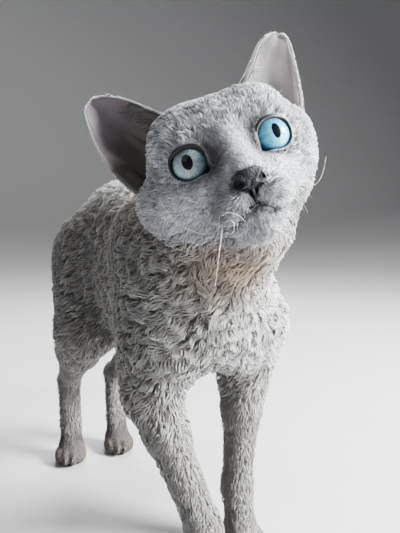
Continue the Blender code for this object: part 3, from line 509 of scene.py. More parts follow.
@dataclass
class SkinShape:
    """The skin's distance: the flesh less the coat's depth, with sockets, mouth and nostrils cut in."""

    shape: CatShape
    flesh: Field = field(init=False)
    eyes: tuple[EyeSeat, EyeSeat] = field(init=False)
    body_depth: float = 0.4
    face_depth: float = 0.4
    leg_depth: float = 0.5
    mouth_radius: float = 1.25
    socket_gap: float = 0.15
    lid_round: float = 0.7
    slit_round: float = 1.2
    mouth: tuple = ((0.0, -30.4, -31.0), (5.5, -27.0, -32.5), (10.0, -21.5, -33.4), (13.8, -14.5, -33.2))
    groove: tuple = ((0.0, -33.5, -22.8), (0.0, -32.6, -26.5), (0.0, -30.0, -31.0))

    def __post_init__(self) -> None:
        """Makes the flesh field and the two eye seats."""
        self.flesh = Field(self.shape.blobs())
        self.eyes = (EyeSeat(self.shape, -1), EyeSeat(self.shape, 1))

    def depth(self, points: Array) -> Array:
        """The coat's depth in metres: least on the face and feet, most on the trunk."""
        behind = ease(self.shape.head.behind(points), -28.0, 12.0)
        low = 1.0 - ease(points[:, 2] / MM, 60.0, 125.0)
        trunk = self.face_depth + (self.body_depth - self.face_depth) * behind
        return (trunk + (self.leg_depth - trunk) * low) * MM

    def level(self, points: Array) -> Array:
        """Distance to the skin before anything is cut into it."""
        return self.flesh.distance(points) + self.depth(points)

    def line(self, knots: tuple, side: int, count: int = 25) -> Array:
        """A line over the face, through knots in mm of the head, settled on the skin."""
        rows = np.array(knots) * [side, 1, 1] + [self.shape.head.muzzle_side, 0, 0]
        curve = smooth_rows(np.arange(len(rows)), rows, np.linspace(0, len(rows) - 1, count))
        return self.settle(self.shape.head.place(curve), 4)

    def settle(self, points: Array, rounds: int = 3, out: float = 0.0) -> Array:
        """Moves points on to the uncut skin, or a distance outside it, by steps of gap over slope."""
        points = np.array(points, float)
        for _ in range(rounds):
            gap, slope = slope_of(self.level, points, 0.2 * MM)
            points -= ((gap - out) / np.maximum((slope * slope).sum(1), 0.05))[:, None] * slope
        return points

    def normals(self, points: Array) -> Array:
        """Outward unit vectors of the uncut skin."""
        return unit(slope_of(self.level, points, 0.3 * MM)[1])

    def distance(self, points: Array) -> Array:
        """Distance to the skin, with the eyes' sockets, the lids' openings, the mouth and nostrils cut."""
        total = self.level(points)
        near = np.flatnonzero((self.shape.head.behind(points) < 5.0) & (np.abs(total) < 26 * MM))
        if not len(near):
            return total
        close, own = points[near], total[near]
        for eye in self.eyes:
            away = np.linalg.norm(close - eye.centre, axis=1)
            own = np.maximum(own, -(away - (self.shape.eye_radius + self.socket_gap) * MM))
            own = cut_from(own, eye.opening(close), self.lid_round * MM)
        for slit in self.rails + self.nostrils():
            own = cut_from(own, slit.distance(close), self.slit_round * MM)
        total[near] = own
        return total

    def nostrils(self) -> list[Ellipsoid]:
        """Two leaning hollows in the tip of the nose."""
        head = self.shape.head
        return [
            head.blob(head.muzzle_side + 4.6 * side, -33.0, -19.9, (2.6, 4.2, 2.1), roll=-34 * side, blend=1)
            for side in (-1, 1)
        ]

    @property
    def rails(self) -> list[Limb]:
        """Thin bars along the mouth and the groove of the upper lip."""
        if not hasattr(self, "_rails"):
            lines = [self.line(self.mouth, side, 10) for side in (-1, 1)] + [self.line(self.groove, 1, 6)]
            self._rails = []
            for line in lines:
                fade = np.sin(np.linspace(0.3, 0.9, len(line)) * math.pi) ** 0.5 * self.mouth_radius * MM
                pairs = zip(line[:-1], line[1:], fade[:-1], fade[1:])
                self._rails += [Limb(a, b, r, s, MM) for a, b, r, s in pairs]
        return self._rails


@dataclass
class MeshData:
    """Vertices, faces by their number of corners, and named values at each vertex."""

    points: Array
    faces: list[Array]
    colours: dict[str, Array] = field(default_factory=dict)
    vectors: dict[str, Array] = field(default_factory=dict)
    maps: dict[str, Array] = field(default_factory=dict)
    normals: Array | None = None

    def make(self, name: str, shift: Array) -> bpy.types.Object:
        """Puts the arrays into a smooth mesh object at the origin, with a shift added to every point."""
        mesh = bpy.data.meshes.new(name)
        sizes = np.concatenate([np.full(len(part), part.shape[1], np.int32) for part in self.faces])
        loops = np.concatenate([part.ravel() for part in self.faces]).astype(np.int32)
        mesh.vertices.add(len(self.points))
        mesh.vertices.foreach_set("co", (self.points + shift).astype(np.float32).ravel())
        mesh.loops.add(len(loops))
        mesh.loops.foreach_set("vertex_index", loops)
        mesh.polygons.add(len(sizes))
        mesh.polygons.foreach_set("loop_start", (np.cumsum(sizes) - sizes).astype(np.int32))
        for key, values in self.colours.items():
            paint(mesh, key, values)
        for key, values in self.vectors.items():
            layer = mesh.attributes.new(key, "FLOAT_VECTOR", "POINT")
            layer.data.foreach_set("vector", values.astype(np.float32).ravel())
        for key, values in self.maps.items():
            mesh.uv_layers.new(name=key).data.foreach_set("uv", values.astype(np.float32).ravel())
        mesh.update(calc_edges=True)
        mesh.validate()
        mesh.shade_smooth()
        if self.normals is not None:
            mesh.normals_split_custom_set_from_vertices(self.normals.astype(np.float32))
        return linked(name, mesh)


def linked(name: str, data: bpy.types.ID) -> bpy.types.Object:
    """A new object of the scene that holds the data."""
    made = bpy.data.objects.new(name, data)
    bpy.context.scene.collection.objects.link(made)
    return made


def paint(mesh: bpy.types.Mesh, key: str, colours: Array) -> None:
    """Gives the mesh a named colour at each vertex."""
    rgba = np.column_stack([colours, np.ones(len(colours))]).astype(np.float32)
    mesh.color_attributes.new(key, "FLOAT_COLOR", "POINT").data.foreach_set("color", rgba.ravel())


def grid_faces(index: Array, wrapped: bool = True) -> Array:
    """Quads between the rows of a grid of vertex numbers, whose last column meets the first if wrapped."""
    after = np.roll(index, -1, axis=1)
    quads = np.stack([index[:-1], after[:-1], after[1:], index[1:]], axis=-1)
    return (quads if wrapped else quads[:, :-1]).reshape(-1, 4)


def end_fans(index: Array, first: int, last: int) -> Array:
    """Triangles that close a wrapped grid: from one point to its first row and from another to its last."""
    rows = ((first, np.roll(index[0], -1), index[0]), (last, index[-1], np.roll(index[-1], -1)))
    return np.concatenate([np.stack([np.full(len(a), tip), a, b], axis=-1) for tip, a, b in rows])


def merged(parts: list[MeshData]) -> MeshData:
    """Several meshes of quads and triangles as one, with their colours, vectors and maps."""
    blocks, start, corners = {4: [], 3: []}, 0, {4: [], 3: []}
    for part in parts:
        used = 0
        for faces in part.faces:
            blocks[faces.shape[1]].append(faces + start)
            for values in part.maps.values():
                corners[faces.shape[1]].append(values[used : used + faces.size])
            used += faces.size
        start += len(part.points)
    return MeshData(
        np.vstack([part.points for part in parts]),
        [np.concatenate(rows) for rows in blocks.values() if rows],
        {key: np.vstack([part.colours[key] for part in parts]) for key in parts[0].colours},
        {key: np.vstack([part.vectors[key] for part in parts]) for key in parts[0].vectors},
        {key: np.concatenate([row for rows in corners.values() for row in rows]) for key in parts[0].maps},
    )


CORNERS = tuple((i, j, k) for i in (0, 1) for j in (0, 1) for k in (0, 1))


@dataclass(frozen=True)
class SurfaceNet:
    """A closed surface where a distance is zero, with a point in each grid cell that the surface crosses."""

    cell: float

    def mesh(self, distance: Measure, low: Array, high: Array) -> tuple[Array, Array]:
        """Each crossed cell gets the mean of its edges' crossings, each crossed edge a face of four cells.

        Args:
            distance: Function from points to distances.
            low: Lowest corner of the grid.
            high: Highest corner of the grid.

        Returns:
            The points, and faces of four corners.
        """
        counts = np.ceil((high - low) / self.cell).astype(int) + 1
        values = self._values(distance, low, counts)
        corners, span = np.array(CORNERS), (slice(0, -1), slice(1, None))
        held = sum((values[span[i], span[j], span[k]] < 0).astype(np.int8) for i, j, k in CORNERS)
        cells = np.argwhere((held > 0) & (held < 8))
        total, number = np.zeros((len(cells), 3)), np.zeros(len(cells))
        for a, first in enumerate(corners):
            for second in corners[a + 1 :]:
                if np.abs(second - first).sum() != 1:
                    continue
                near, far = values[tuple((cells + first).T)], values[tuple((cells + second).T)]
                crossed = (near < 0) != (far < 0)
                share = np.where(crossed, near / np.where(crossed, near - far, 1.0), 0.0)
                total += (crossed[:, None] * (first + share[:, None] * (second - first)))
                number += crossed
        points = low + (cells + total / number[:, None]) * self.cell
        index = np.full(counts - 1, -1)
        index[tuple(cells.T)] = np.arange(len(cells))
        faces = [self._faces(values, index, axis) for axis in range(3)]
        return points, np.concatenate(faces)

    def _values(self, distance: Measure, low: Array, counts: Array, block: int = 4) -> Array:
        """Distances at the grid's nodes, worked out only in the blocks that the surface may cross."""
        size = -(-counts // block)
        lines = [low[i] + self.cell * (block * np.arange(size[i]) + (block - 1) / 2) for i in range(3)]
        coarse = distance(np.stack(np.meshgrid(*lines, indexing="ij"), axis=-1).reshape(-1, 3)).reshape(size)
        values = coarse
        for axis in range(3):
            values = np.repeat(values, block, axis=axis)
        values = values[: counts[0], : counts[1], : counts[2]].copy()
        nodes = np.argwhere(np.abs(values) < 1.7 * block * self.cell)
        values[tuple(nodes.T)] = distance(low + nodes * self.cell)
        for _ in range(12):
            if not self._fill(values):
                break
        return values

    def _fill(self, values: Array) -> int:
        """Takes in the nodes of cell faces, and of cells, whose insides meet only corner to corner."""
        inside, found = values < 0, 0
        span = [slice(0, -1), slice(1, None)]
        for axis in range(3):
            held = np.moveaxis(inside, axis, 2)
            a, b, c, d = (held[span[i], span[j]] for i, j in ((0, 0), (1, 0), (1, 1), (0, 1)))
            place = np.argwhere((a == c) & (b == d) & (a != b))
            found += len(place)
            for i, j in ((0, 0), (1, 0), (1, 1), (0, 1)):
                node = (place + [i, j, 0]).T
                view = np.moveaxis(values, axis, 2)
                view[tuple(node)] = np.minimum(view[tuple(node)], -0.01 * self.cell)
        held = [inside[span[i], span[j], span[k]] for i, j, k in CORNERS]
        total = sum(part.astype(np.int8) for part in held)
        for first, second in zip(range(4), range(7, 3, -1)):
            alone = (total == 2) & held[first] & held[second]
            tunnel = (total == 6) & ~held[first] & ~held[second]
            place = np.argwhere(alone | tunnel)
            found += len(place)
            for corner in CORNERS:
                node = tuple((place + corner).T)
                values[node] = np.minimum(values[node], -0.01 * self.cell)
        return found

    @staticmethod
    def _faces(values: Array, index: Array, axis: int) -> Array:
        """Faces across the crossed edges along an axis, turned so that they face outwards."""
        near, far = np.moveaxis(values, axis, 0)[:-1], np.moveaxis(values, axis, 0)[1:]
        own = np.argwhere((near < 0) != (far < 0))
        out = near[tuple(own.T)] < 0
        order = [axis] + [other for other in range(3) if other != axis]
        place = np.empty_like(own)
        place[:, order] = own
        across, up = (axis + 1) % 3, (axis + 2) % 3
        quad = []
        for a, b in ((-1, -1), (0, -1), (0, 0), (-1, 0)):
            cell = place.copy()
            cell[:, across] += a
            cell[:, up] += b
            quad.append(index[tuple(cell.T)])
        quads = np.stack(quad, axis=1)
        return np.where(out[:, None], quads, quads[:, ::-1])


@dataclass
class Ripples:
    """Soft random waves over space: the mean of sines along random directions."""

    seed: int
    waves: int = 9

    def __call__(self, points: Array, length: float) -> Array:
        """Value from about -1 to 1 at each point, whose waves are about this many mm long."""
        random = np.random.default_rng(self.seed)
        ways = unit(random.normal(size=(self.waves, 3))) * random.uniform(0.7, 1.4, (self.waves, 1))
        phases = random.uniform(0, 2 * math.pi, self.waves)
        return np.sin(points @ ways.T * (2 * math.pi / (length * MM)) + phases).sum(1) / self.waves * 1.9


def blend_colour(base: Array, colour: Triple, weight: Array) -> Array:
    """Colours moved towards one colour by a weight for each row."""
    weight = np.clip(weight, 0.0, 1.0)[:, None]
    return base * (1 - weight) + np.array(colour) * weight


def bell(local: Array, centre: Triple, radii: Triple) -> Array:
    """Bell round a centre: e to the minus square of the stretched distance."""
    return np.exp(-(((local - np.array(centre)) / np.array(radii)) ** 2).sum(1))


# Marks on the head: colour, strength, then the bell's middle and radii in mm of the head. The paired ones
# stand on both sides, with the side's sign put to the middle's first number.
TOP_MARKS = (
    ("pale", 0.8, (0, 0, 26), (26, math.inf, 13)), ("pale", 0.6, (0, -14, -2), (4.5, 20, 12)),
)
PAIRED_MARKS = (
    ("pale", 0.95, (21, -8, -15), (13, 13, 5.0)), ("pale", 0.35, (31, 8, -22), (12, 16, 13)),
    ("slate", 0.80, (8.5, -14, -4), (4.5, 12, 9)), ("dusk", 0.6, (27, 3, -27), (13, 14, 2.6)),
    ("dusk", 0.55, (33, 8, -9), (4.0, 10, 7)),
)
# The lone ones stand on one side. The slate ones by the nose, on the right whisker pad and between the right
# eye
# and the nose deepen the mask on the cat's right: partly the mask, partly painted shade on the shaded side.
# The dusk
# are painted shade under the chin.
# band over the right eye is painted shadow under the brow, and the pale band above it lightens the brow. The
# pale one
# on the left whisker pad is painted light on the lit side, and the dusk under the chin and the throat's warm
# brown
LONE_MARKS = (
    ("slate", 0.75, (-2.5, -30, -19), (8.5, 10, 7.0)), ("slate", 0.62, (-6, -26, -27), (10, 15, 6)),
    ("slate", 0.90, (-10.5, -14, -6), (5.5, 14, 10)), ("slate", 0.62, (-15, -17, -27), (9, 14, 6)),
    ("dusk", 0.6, (-17, -4, 12), (13, 12, 2.6)), ("pale", 0.85, (-18, -9, 17), (13, 12, 2.8)),
    ("pale", 0.97, (12, -20, -25), (10, 16, 9)), ("dusk", 0.5, (-3, -24, -41), (10, 14, 4)),
    ("throat", 0.8, (-3, 14, -52), (20, 26, 13)),
)


@dataclass(frozen=True)
class Markings:
    """Colour of skin and coat at any place, in linear light."""

    shape: CatShape
    cream: Triple = (0.278, 0.268, 0.252)
    bib: Triple = (0.74, 0.727, 0.70)
    back: Triple = (0.225, 0.216, 0.205)
    silver: Triple = (0.55, 0.57, 0.60)
    pale: Triple = (0.84, 0.87, 0.90)
    slate: Triple = (0.105, 0.102, 0.108)
    dusk: Triple = (0.26, 0.262, 0.272)
    sole: Triple = (0.12, 0.105, 0.10)
    # Warm brown: painted shade under the chin.
    throat: Triple = (0.40, 0.30, 0.21)
    dark: Triple = (0.02, 0.02, 0.024)

    def colour(self, points: Array) -> Array:
        """One linear colour a row for places on the skin, from smooth steps and bells.

        The body is cream with grey flanks, partly the coat's own grey and partly painted shade, and a white
        bib that fades on the cat's right as painted shade. The ridge of the back is whitened as painted
        light, and the throat is browned as painted shade under the chin. The head is silver with a slate
        mask, darker on its right side as painted shade, and the feet and the tail's end are dusky.
        """
        left, back, height = (points / MM).T
        soft, fine = Ripples(3)(points, 46.0), Ripples(11)(points, 13.0)
        flank = ease(back, -95, -40) * ease(height, 120, 190) * (1 - 0.4 * ease(back, 20, 80))
        front = ease(-back, 70, 112) * (1 - ease(height, 205, 232)) * ease(height, 60, 140)
        tail = Field(self.shape.tail.blobs()[3:]).distance(points) < 4 * MM
        base = np.tile(np.array(self.cream), (len(points), 1))
        for colour, weight in (
            # Grey flanks: partly the coat's own grey, partly painted shade.
            (self.back, flank * (0.62 + 0.28 * soft) * (1 - 0.9 * ease(height, 222, 242))),
            # White bib, fading towards cream on the cat's right: painted shade on the shaded side.
            (self.bib, front * (0.26 + 0.74 * ease(left, -34, 10)) * (0.78 + 0.22 * soft)),
            # Warm brown under the chin on the cat's right: painted shade under the chin.
            (self.throat, 0.9 * bell(points / MM, (-22, -140, 200), (24, 24, 17))),
            # Whitened along the top of the back: painted light from above.
            (self.bib, 0.55 * ease(height, 228, 250) * ease(back, -70, -30)),
            (self.sole, 0.85 * (back > 0) * (1 - ease(height, 16, 46)) * (left < 80)),
            (self.dusk, 0.35 * (back < 0) * (1 - ease(height, 4, 20))),
            (self.dusk, 0.75 * tail * ease(left, 50, 128)),
        ):
            base = blend_colour(base, colour, weight)
        base *= (1 + 0.10 * fine + 0.07 * soft)[:, None]
        return np.clip(self._head(points, base), 0.01, 0.95)

    def _head(self, points: Array, base: Array) -> Array:
        """The head's own colours over the body's."""
        head = 1 - ease(self.shape.head.behind(points), -34.0, -4.0)
        near = np.flatnonzero(head > 0)
        local = self.shape.head.local(points[near])
        x, z = np.abs(local[:, 0]), local[:, 2]
        face = self._marked(np.tile(np.array(self.silver), (len(near), 1)), local, TOP_MARKS)
        for side in (-1, 1):
            face = self._marked(face, local, PAIRED_MARKS, side)
            ring = np.linalg.norm((local - [side * self.shape.eye_side, 0, 0]) * [1, 0.35, 1], axis=1)
            lids = np.exp(-(((ring - 9.6) / 1.9) ** 2)) * (local[:, 1] < 0)
            face = blend_colour(face, self.slate, 0.75 * lids)
        face = self._marked(face, local, LONE_MARKS)
        # Bands over the brow that follow its ripples: pale on the crests, dusk and slate in the troughs, as
        # painted light
        # and painted shade. The slate keeps off the left of the brow.
        arcs = np.sin(z * 1.35 + 2.6 * np.sin(x * 0.21) + 1.9 * Ripples(5)(points[near], 19.0))
        brow = ease(z, 8, 17) * (1 - ease(local[:, 1], 22, 46))
        face = blend_colour(face, self.pale, 0.85 * brow * ease(-arcs, 0.0, 0.8))
        face = blend_colour(face, self.dusk, 0.85 * brow * ease(arcs, -0.1, 0.7))
        face = blend_colour(face, self.slate, 0.40 * brow * ease(arcs, 0.4, 1.0) * (local[:, 0] < 12))
        stripe = np.exp(-(((x - 6.5 - 0.16 * np.maximum(z, 0)) / 1.9) ** 2))
        face = blend_colour(face, self.dusk, 0.45 * stripe * ease(z, 2, 10) * (1 - ease(z, 26, 34)))
        rows = np.sin(local[:, 1] * 1.15) * np.sin(z * 1.9 + 0.4 * local[:, 1])
        pad = bell(local, (-5, -22, -25), (15, 11, 8)) * ease(rows, 0.35, 0.8)
        # Whisker-spot rows, faded on the cat's left: painted light on the lit side of the muzzle.
        pad = pad * (1 - 0.7 * ease(local[:, 0], 0, 6))
        face = blend_colour(face, self.slate, 0.8 * pad)
        face *= (1 + 0.20 * Ripples(8)(points[near], 5.5) + 0.12 * Ripples(9)(points[near], 15.0))[:, None]
        leather = NosePad.outside(local, self.shape.head.muzzle_side)
        face = blend_colour(face, self.dark, 1 - ease(leather, 0.0, 1.2))
        weight = head[near][:, None]
        base[near] = base[near] * (1 - weight) + face * weight
        return base

    def _marked(self, face: Array, local: Array, marks: tuple, side: int = 1) -> Array:
        """The face's colours with a list of marks blended over them in turn."""
        for colour, strength, (x, y, z), radii in marks:
            face = blend_colour(face, getattr(self, colour), strength * bell(local, (side * x, y, z), radii))
        return face


@dataclass
class Skin:
    """One closed skin over the whole body: a fine net on the head and a coarser one behind, joined."""

    form: SkinShape
    markings: Markings
    body_cell: float = 2.6
    head_cell: float = 0.9
    overlap: float = 2.5
    head_box: tuple = ((-72.0, -198.0, 188.0), (30.0, -64.0, 298.0))
    body_box: tuple = ((-76.0, -176.0, -6.0), (144.0, 178.0, 290.0))

    def _half(self, name: str, cell: float, box: tuple, beyond: Measure) -> bpy.types.Object:
        """A net of the skin, closed where beyond, in mm, is positive, and eased on to the skin."""
        def clipped(points: Array) -> Array:
            """The skin's distance with the far side of the plane taken away."""
            return np.maximum(self.form.distance(points), beyond(points) * MM)

        low, high = np.array(box) * MM
        points, faces = SurfaceNet(cell * MM).mesh(clipped, low, high)
        for _ in range(2):
            gap, slope = slope_of(clipped, points, 0.15 * MM)
            step = (gap / np.maximum((slope * slope).sum(1), 0.25))[:, None] * slope
            points -= np.clip(step, -0.3 * cell * MM, 0.3 * cell * MM)
        return MeshData(points, [faces]).make(name, np.zeros(3))

    def build(self, shift: Array) -> bpy.types.Object:
        """Joins the two halves by a union, colours the vertices and moves them by the shift."""
        behind = self.form.shape.head.behind
        head = self._half("skin_head", self.head_cell, self.head_box, lambda p: behind(p) - self.overlap)
        body = self._half("skin", self.body_cell, self.body_box, lambda p: -behind(p))
        join = body.modifiers.new("Join", "BOOLEAN")
        join.operation, join.solver, join.object = "UNION", "MANIFOLD", head
        bpy.context.view_layer.update()
        mesh = bpy.data.meshes.new_from_object(body.evaluated_get(bpy.context.evaluated_depsgraph_get()))
        body.modifiers.clear()
        body.data = mesh
        bpy.data.objects.remove(head)
        points = mesh_points(mesh)
        paint(mesh, "marking", self.markings.colour(points))
        mesh.vertices.foreach_set("co", (points + shift).astype(np.float32).ravel())
        mesh.shade_smooth()
        mesh.update()
        body.name = "skin"
        return body


def mesh_points(mesh: bpy.types.Mesh) -> Array:
    """The mesh's vertices as an array."""
    flat = np.empty(len(mesh.vertices) * 3, np.float32)
    mesh.vertices.foreach_get("co", flat)
    return flat.reshape(-1, 3).astype(float)


@dataclass(frozen=True)
class CoatStyle:
    """How tufts grow in a zone. Lengths in mm, turns in degrees, the rest are shares."""

    length: float
    width: float
    lift: float
    relief: float
    wave_length: float
    sway: float
    curl: float
    gather: float
    stray: float
    tuck: float
    lock: float


# Columns of a style's row, which holds the style's values in their order.
LENGTH, WIDTH, LIFT, RELIEF, WAVE, CURL, LOCK = 0, 1, 2, 3, 4, 6, 10
STYLES = {
    "face": CoatStyle(2.7, 0.40, 0.50, 0.10, 7.0, 4.0, 8.0, 0.25, 7.0, 0.1, 2.6),
    "crown": CoatStyle(4.6, 0.50, 1.25, 0.70, 7.5, 10.0, 22.0, 0.55, 14.0, 0.1, 3.6),
    "neck": CoatStyle(8.0, 0.73, 2.0, 2.0, 10.0, 12.0, 40.0, 0.40, 12.0, 0.6, 5.5),
    "trunk": CoatStyle(10.5, 0.90, 2.2, 2.6, 12.0, 14.0, 28.0, 0.35, 9.0, 0.6, 6.5),
    "bib": CoatStyle(10.5, 0.75, 2.6, 3.2, 10.0, 14.0, 90.0, 0.5, 24.0, 0.65, 6.8),
    "legs": CoatStyle(6.0, 0.69, 0.7, 1.3, 7.2, 8.0, 22.0, 0.35, 9.0, 0.7, 4.4),
    "paws": CoatStyle(3.0, 0.5, 0.55, 0.1, 6.0, 5.0, 8.0, 0.3, 7.0, 0.3, 3.0),
    "tail": CoatStyle(6.0, 0.8, 1.0, 0.6, 7.0, 12.0, 20.0, 0.4, 10.0, 0.7, 4.6),
}


@dataclass
class CoatMap:
    """Style, lie and waves of the coat anywhere on the skin."""

    form: SkinShape
    nose_root: Triple = (-1.4, -36.0, -18.0)
    trunk_lie: Triple = (0.0, 0.85, -0.5)

    def weights(self, points: Array) -> dict[str, Array]:
        """Share of each style at each point, from smooth steps of height and place, adding up to 1."""
        head = self.form.shape.head
        local, height = head.local(points), points[:, 2] / MM
        on_head = 1 - ease(head.behind(points), -36.0, -2.0)
        middle = np.linalg.norm((local - [0, -14.0, -8.0]) * [0.85, 0.8, 1.1], axis=1)
        on_face = on_head * (1 - ease(middle, 15.0, 30.0))
        near_tail = Field(self.form.shape.tail.blobs()).distance(points) < 3.0 * MM
        tail = near_tail * ease(points[:, 1] / MM + 0.3 * points[:, 0] / MM, 112, 135)
        rest = (1 - on_head) * (1 - tail)
        low = 1 - ease(height, 84.0, 132.0)
        foot = 1 - ease(height, 14.0, 34.0)
        neck = ease(-head.behind(points), -58.0, -18.0)
        front = ease(-points[:, 1] / MM, 58, 96) * ease(height, 112, 150) * (1 - ease(height, 196, 226))
        shares = {
            "face": on_face, "crown": on_head - on_face, "tail": tail * (1 - on_head),
            "legs": rest * low * (1 - foot), "paws": rest * low * foot,
            "bib": rest * (1 - low) * front, "neck": rest * (1 - low) * (1 - front) * neck,
        }
        shares["trunk"] = np.maximum(1 - sum(shares.values()), 0.0)
        return shares

    def values(self, points: Array) -> Array:
        """Style values at each point: the zones' rows, added by their shares."""
        shares = self.weights(points)
        rows = sum(share[:, None] * np.array(astuple(STYLES[name])) for name, share in shares.items())
        local = self.form.shape.head.local(points)
        fluff = sum(
            1.6 * bell(local, (33.0 * side, 22, 18), (10, 12, 17))
            + bell(local, (18.0 * side, -3, 15), (13, 9, 4.5)) for side in (-1, 1)
        )
        throat = bell(points / MM, (-22, -140, 202), (24, 26, 18))
        rows[:, LENGTH] *= 1 + 0.75 * fluff - 0.4 * throat
        rows[:, LIFT] *= 1 + 1.1 * fluff - 0.5 * throat
        rows[:, RELIEF] *= 1 - 0.65 * throat
        rows[:, CURL] *= 1 - 0.5 * throat
        return rows

    def lie(self, points: Array, normals: Array) -> Array:
        """Unit ways in the skin's plane: from the nose over the head, back along the trunk, down the legs."""
        shape, shares = self.form.shape, self.weights(points)
        head = shape.head
        from_nose = unit(points - head.place(self.nose_root)) + 0.35 * (head.turn @ np.array([0, 1.0, 0.1]))
        on_head = (shares["face"] + shares["crown"])[:, None]
        low = np.clip(shares["legs"] + shares["paws"], 0, 1)[:, None]
        way = np.tile(unit(np.array(self.trunk_lie)), (len(points), 1))
        way = way * (1 - low) + np.array([0.0, 0.12, -1.0]) * low
        for leg in shape.legs:
            near = np.linalg.norm(points[:, :2] / MM - np.array(leg.paw.knuckles[:2]), axis=1) < 30
            forward = turned(yaw=leg.paw.heading) @ np.array([0, -1.0, -0.35])
            share = (shares["paws"] * near)[:, None]
            way = way * (1 - share) + forward * share
        way = way * (1 - on_head) + from_nose * on_head
        tail = shares["tail"] > 0.3
        if tail.any():
            bars = shape.tail.blobs()
            away = np.stack([limb.along(points[tail])[1] for limb in bars])
            runs = unit(np.stack([limb.end - limb.start for limb in bars]))
            way[tail] = runs[away.argmin(axis=0)]
        for eye in self.form.eyes:
            toward = eye.centre - points
            gap = np.linalg.norm(toward, axis=1) / MM
            toward = unit(toward - (toward * normals).sum(1)[:, None] * normals)
            inward = np.maximum((way * toward).sum(1), 0.0) * (1 - ease(gap, 12.0, 21.0))
            way = way - 1.25 * inward[:, None] * toward
        way = way - (way * normals).sum(1)[:, None] * normals
        return unit(way)

    def phase(self, points: Array, shares: Array, wave_length: Array) -> Array:
        """Turns of the coat's waves: distance along the lie over the waves' length in mm, a little warped.

        The shares are those of the head and of the legs at each place.
        """
        on_head, low = shares[:, 0], shares[:, 1]
        head = np.linalg.norm(points - self.form.shape.head.place(self.nose_root), axis=1)
        along = (points @ unit(np.array(self.trunk_lie))) * (1 - low) - points[:, 2] * low
        along = along * (1 - on_head) + head * on_head
        warp = 0.62 * Ripples(21)(points, 36.0) + 0.42 * Ripples(22)(points, 15.0)
        return along / MM / wave_length + warp

    def relief(self, points: Array, shares: Array, size: Array, wave_length: Array) -> Array:
        """Height of the coat's waves in mm: size (0.5 + 0.5 cos(turn)), broken up by a slower noise."""
        wave = 0.5 + 0.5 * np.cos(2 * math.pi * self.phase(points, shares, wave_length))
        breaks = 0.62 + 0.38 * np.clip(Ripples(23)(points, 19.0), -1, 1)
        return size * wave * breaks

    def clear(self, points: Array) -> Array:
        """Distance in mm to what carries no hair: the eyes' openings, the nose leather and the mouth."""
        gap = np.full(len(points), 99.0)
        near = np.flatnonzero(self.form.shape.head.behind(points) < 0)
        if not len(near):
            return gap
        close = points[near]
        own = np.full(len(near), 99.0)
        for eye in self.form.eyes:
            own = np.minimum(own, eye.opening(close) / MM - 0.9)
        lines = [self.form.line(self.form.mouth, side, 14) for side in (-1, 1)]
        lines.append(self.form.line(self.form.groove, 1, 8))
        for line in lines:
            away = np.linalg.norm(close[:, None, :] - line[None, :, :], axis=2).min(axis=1) / MM
            own = np.minimum(own, away - 1.1)
        local = self.form.shape.head.local(close)
        own = np.minimum(own, NosePad.outside(local, self.form.shape.head.muzzle_side))
        gap[near] = own
        return gap


@dataclass(frozen=True)
class NosePad:
    """The bare leather of the nose, as a patch over the skin."""

    form: SkinShape
    columns: int = 65
    rows: int = 57
    low: float = -25.6
    high: float = -14.8
    stand: float = 0.35

    @staticmethod
    def half_width(rise: Array) -> Array:
        """Half width in mm at a share of the height: narrow at the lip and widest at the nostrils."""
        knots = np.array([0.0, 0.16, 0.34, 0.55, 0.78, 1.0])
        widths = np.array([[0.9], [2.0], [5.2], [7.1], [6.0], [3.2]])
        return smooth_rows(knots, widths, np.clip(rise, 0, 1))[:, 0]

    @classmethod
    def outside(cls, local: Array, middle: float) -> Array:
        """Rough distance in mm outside the patch's outline, for points in the head's own mm."""
        rise = (local[:, 2] - cls.low) / (cls.high - cls.low)
        side = np.abs(local[:, 0] - middle) - cls.half_width(rise)
        up = np.maximum(cls.low - local[:, 2], local[:, 2] - cls.high)
        back = (local[:, 1] + 24.5)
        return np.maximum(np.maximum(side, up), back)

    def data(self) -> MeshData:
        """A grid across and up, dropped on the skin, raised inside its edge and sunk at the nostrils."""
        across, rise = np.meshgrid(np.linspace(-1, 1, self.columns), np.linspace(0, 1, self.rows))
        across, rise = across.ravel(), rise.ravel()
        x = across * self.half_width(rise)
        z = self.low + rise * (self.high - self.low)
        y = -34.5 + 0.10 * x * x + 3.0 * rise**2
        head = self.form.shape.head
        points = self.form.settle(head.place(np.stack([x + head.muzzle_side, y, z], axis=1)), 6)
        normals = self.form.normals(points)
        edge = np.minimum(1 - np.abs(across), np.minimum(rise, 1 - rise) * 2.2)
        raised = self.stand * ease(edge, 0.0, 0.16) - 0.35 * (1 - ease(edge, 0.0, 0.08))
        hole_x, hole_z = np.abs(x) - 4.5, z + 19.6
        lean = hole_x * 0.82 + hole_z * 0.57
        tall = -hole_x * 0.57 + hole_z * 0.82
        nostril = np.exp(-((lean / 2.0) ** 2 + (tall / 1.25) ** 2) ** 1.6)
        slit = np.exp(-(((hole_x - 2.3) / 1.7) ** 2 + ((hole_z + 1.1) / 0.55) ** 2) ** 1.3)
        middle = np.exp(-((x / 0.5) ** 2)) * (1 - ease(rise, 0.45, 0.62))
        wing = np.exp(-((lean / 3.3) ** 2 + (tall / 2.4) ** 2) ** 1.5)
        depth = raised + 0.55 * (wing - nostril) - 2.6 * nostril - 1.1 * slit - 0.55 * middle
        points = points + normals * (depth * MM)[:, None]
        quads = grid_faces(np.arange(len(points)).reshape(self.rows, self.columns), False)
        # Darker in the nostrils, the slit and the middle groove: painted shade in these hollows. Lighter
        # towards the top.
        shade = np.clip(1 - 0.8 * nostril - 0.5 * slit - 0.4 * middle, 0.05, 1.0)
        tone = np.array([0.033, 0.034, 0.039]) * shade[:, None] * (1 + 0.5 * rise)[:, None]
        return MeshData(points, [quads], {"marking": tone})


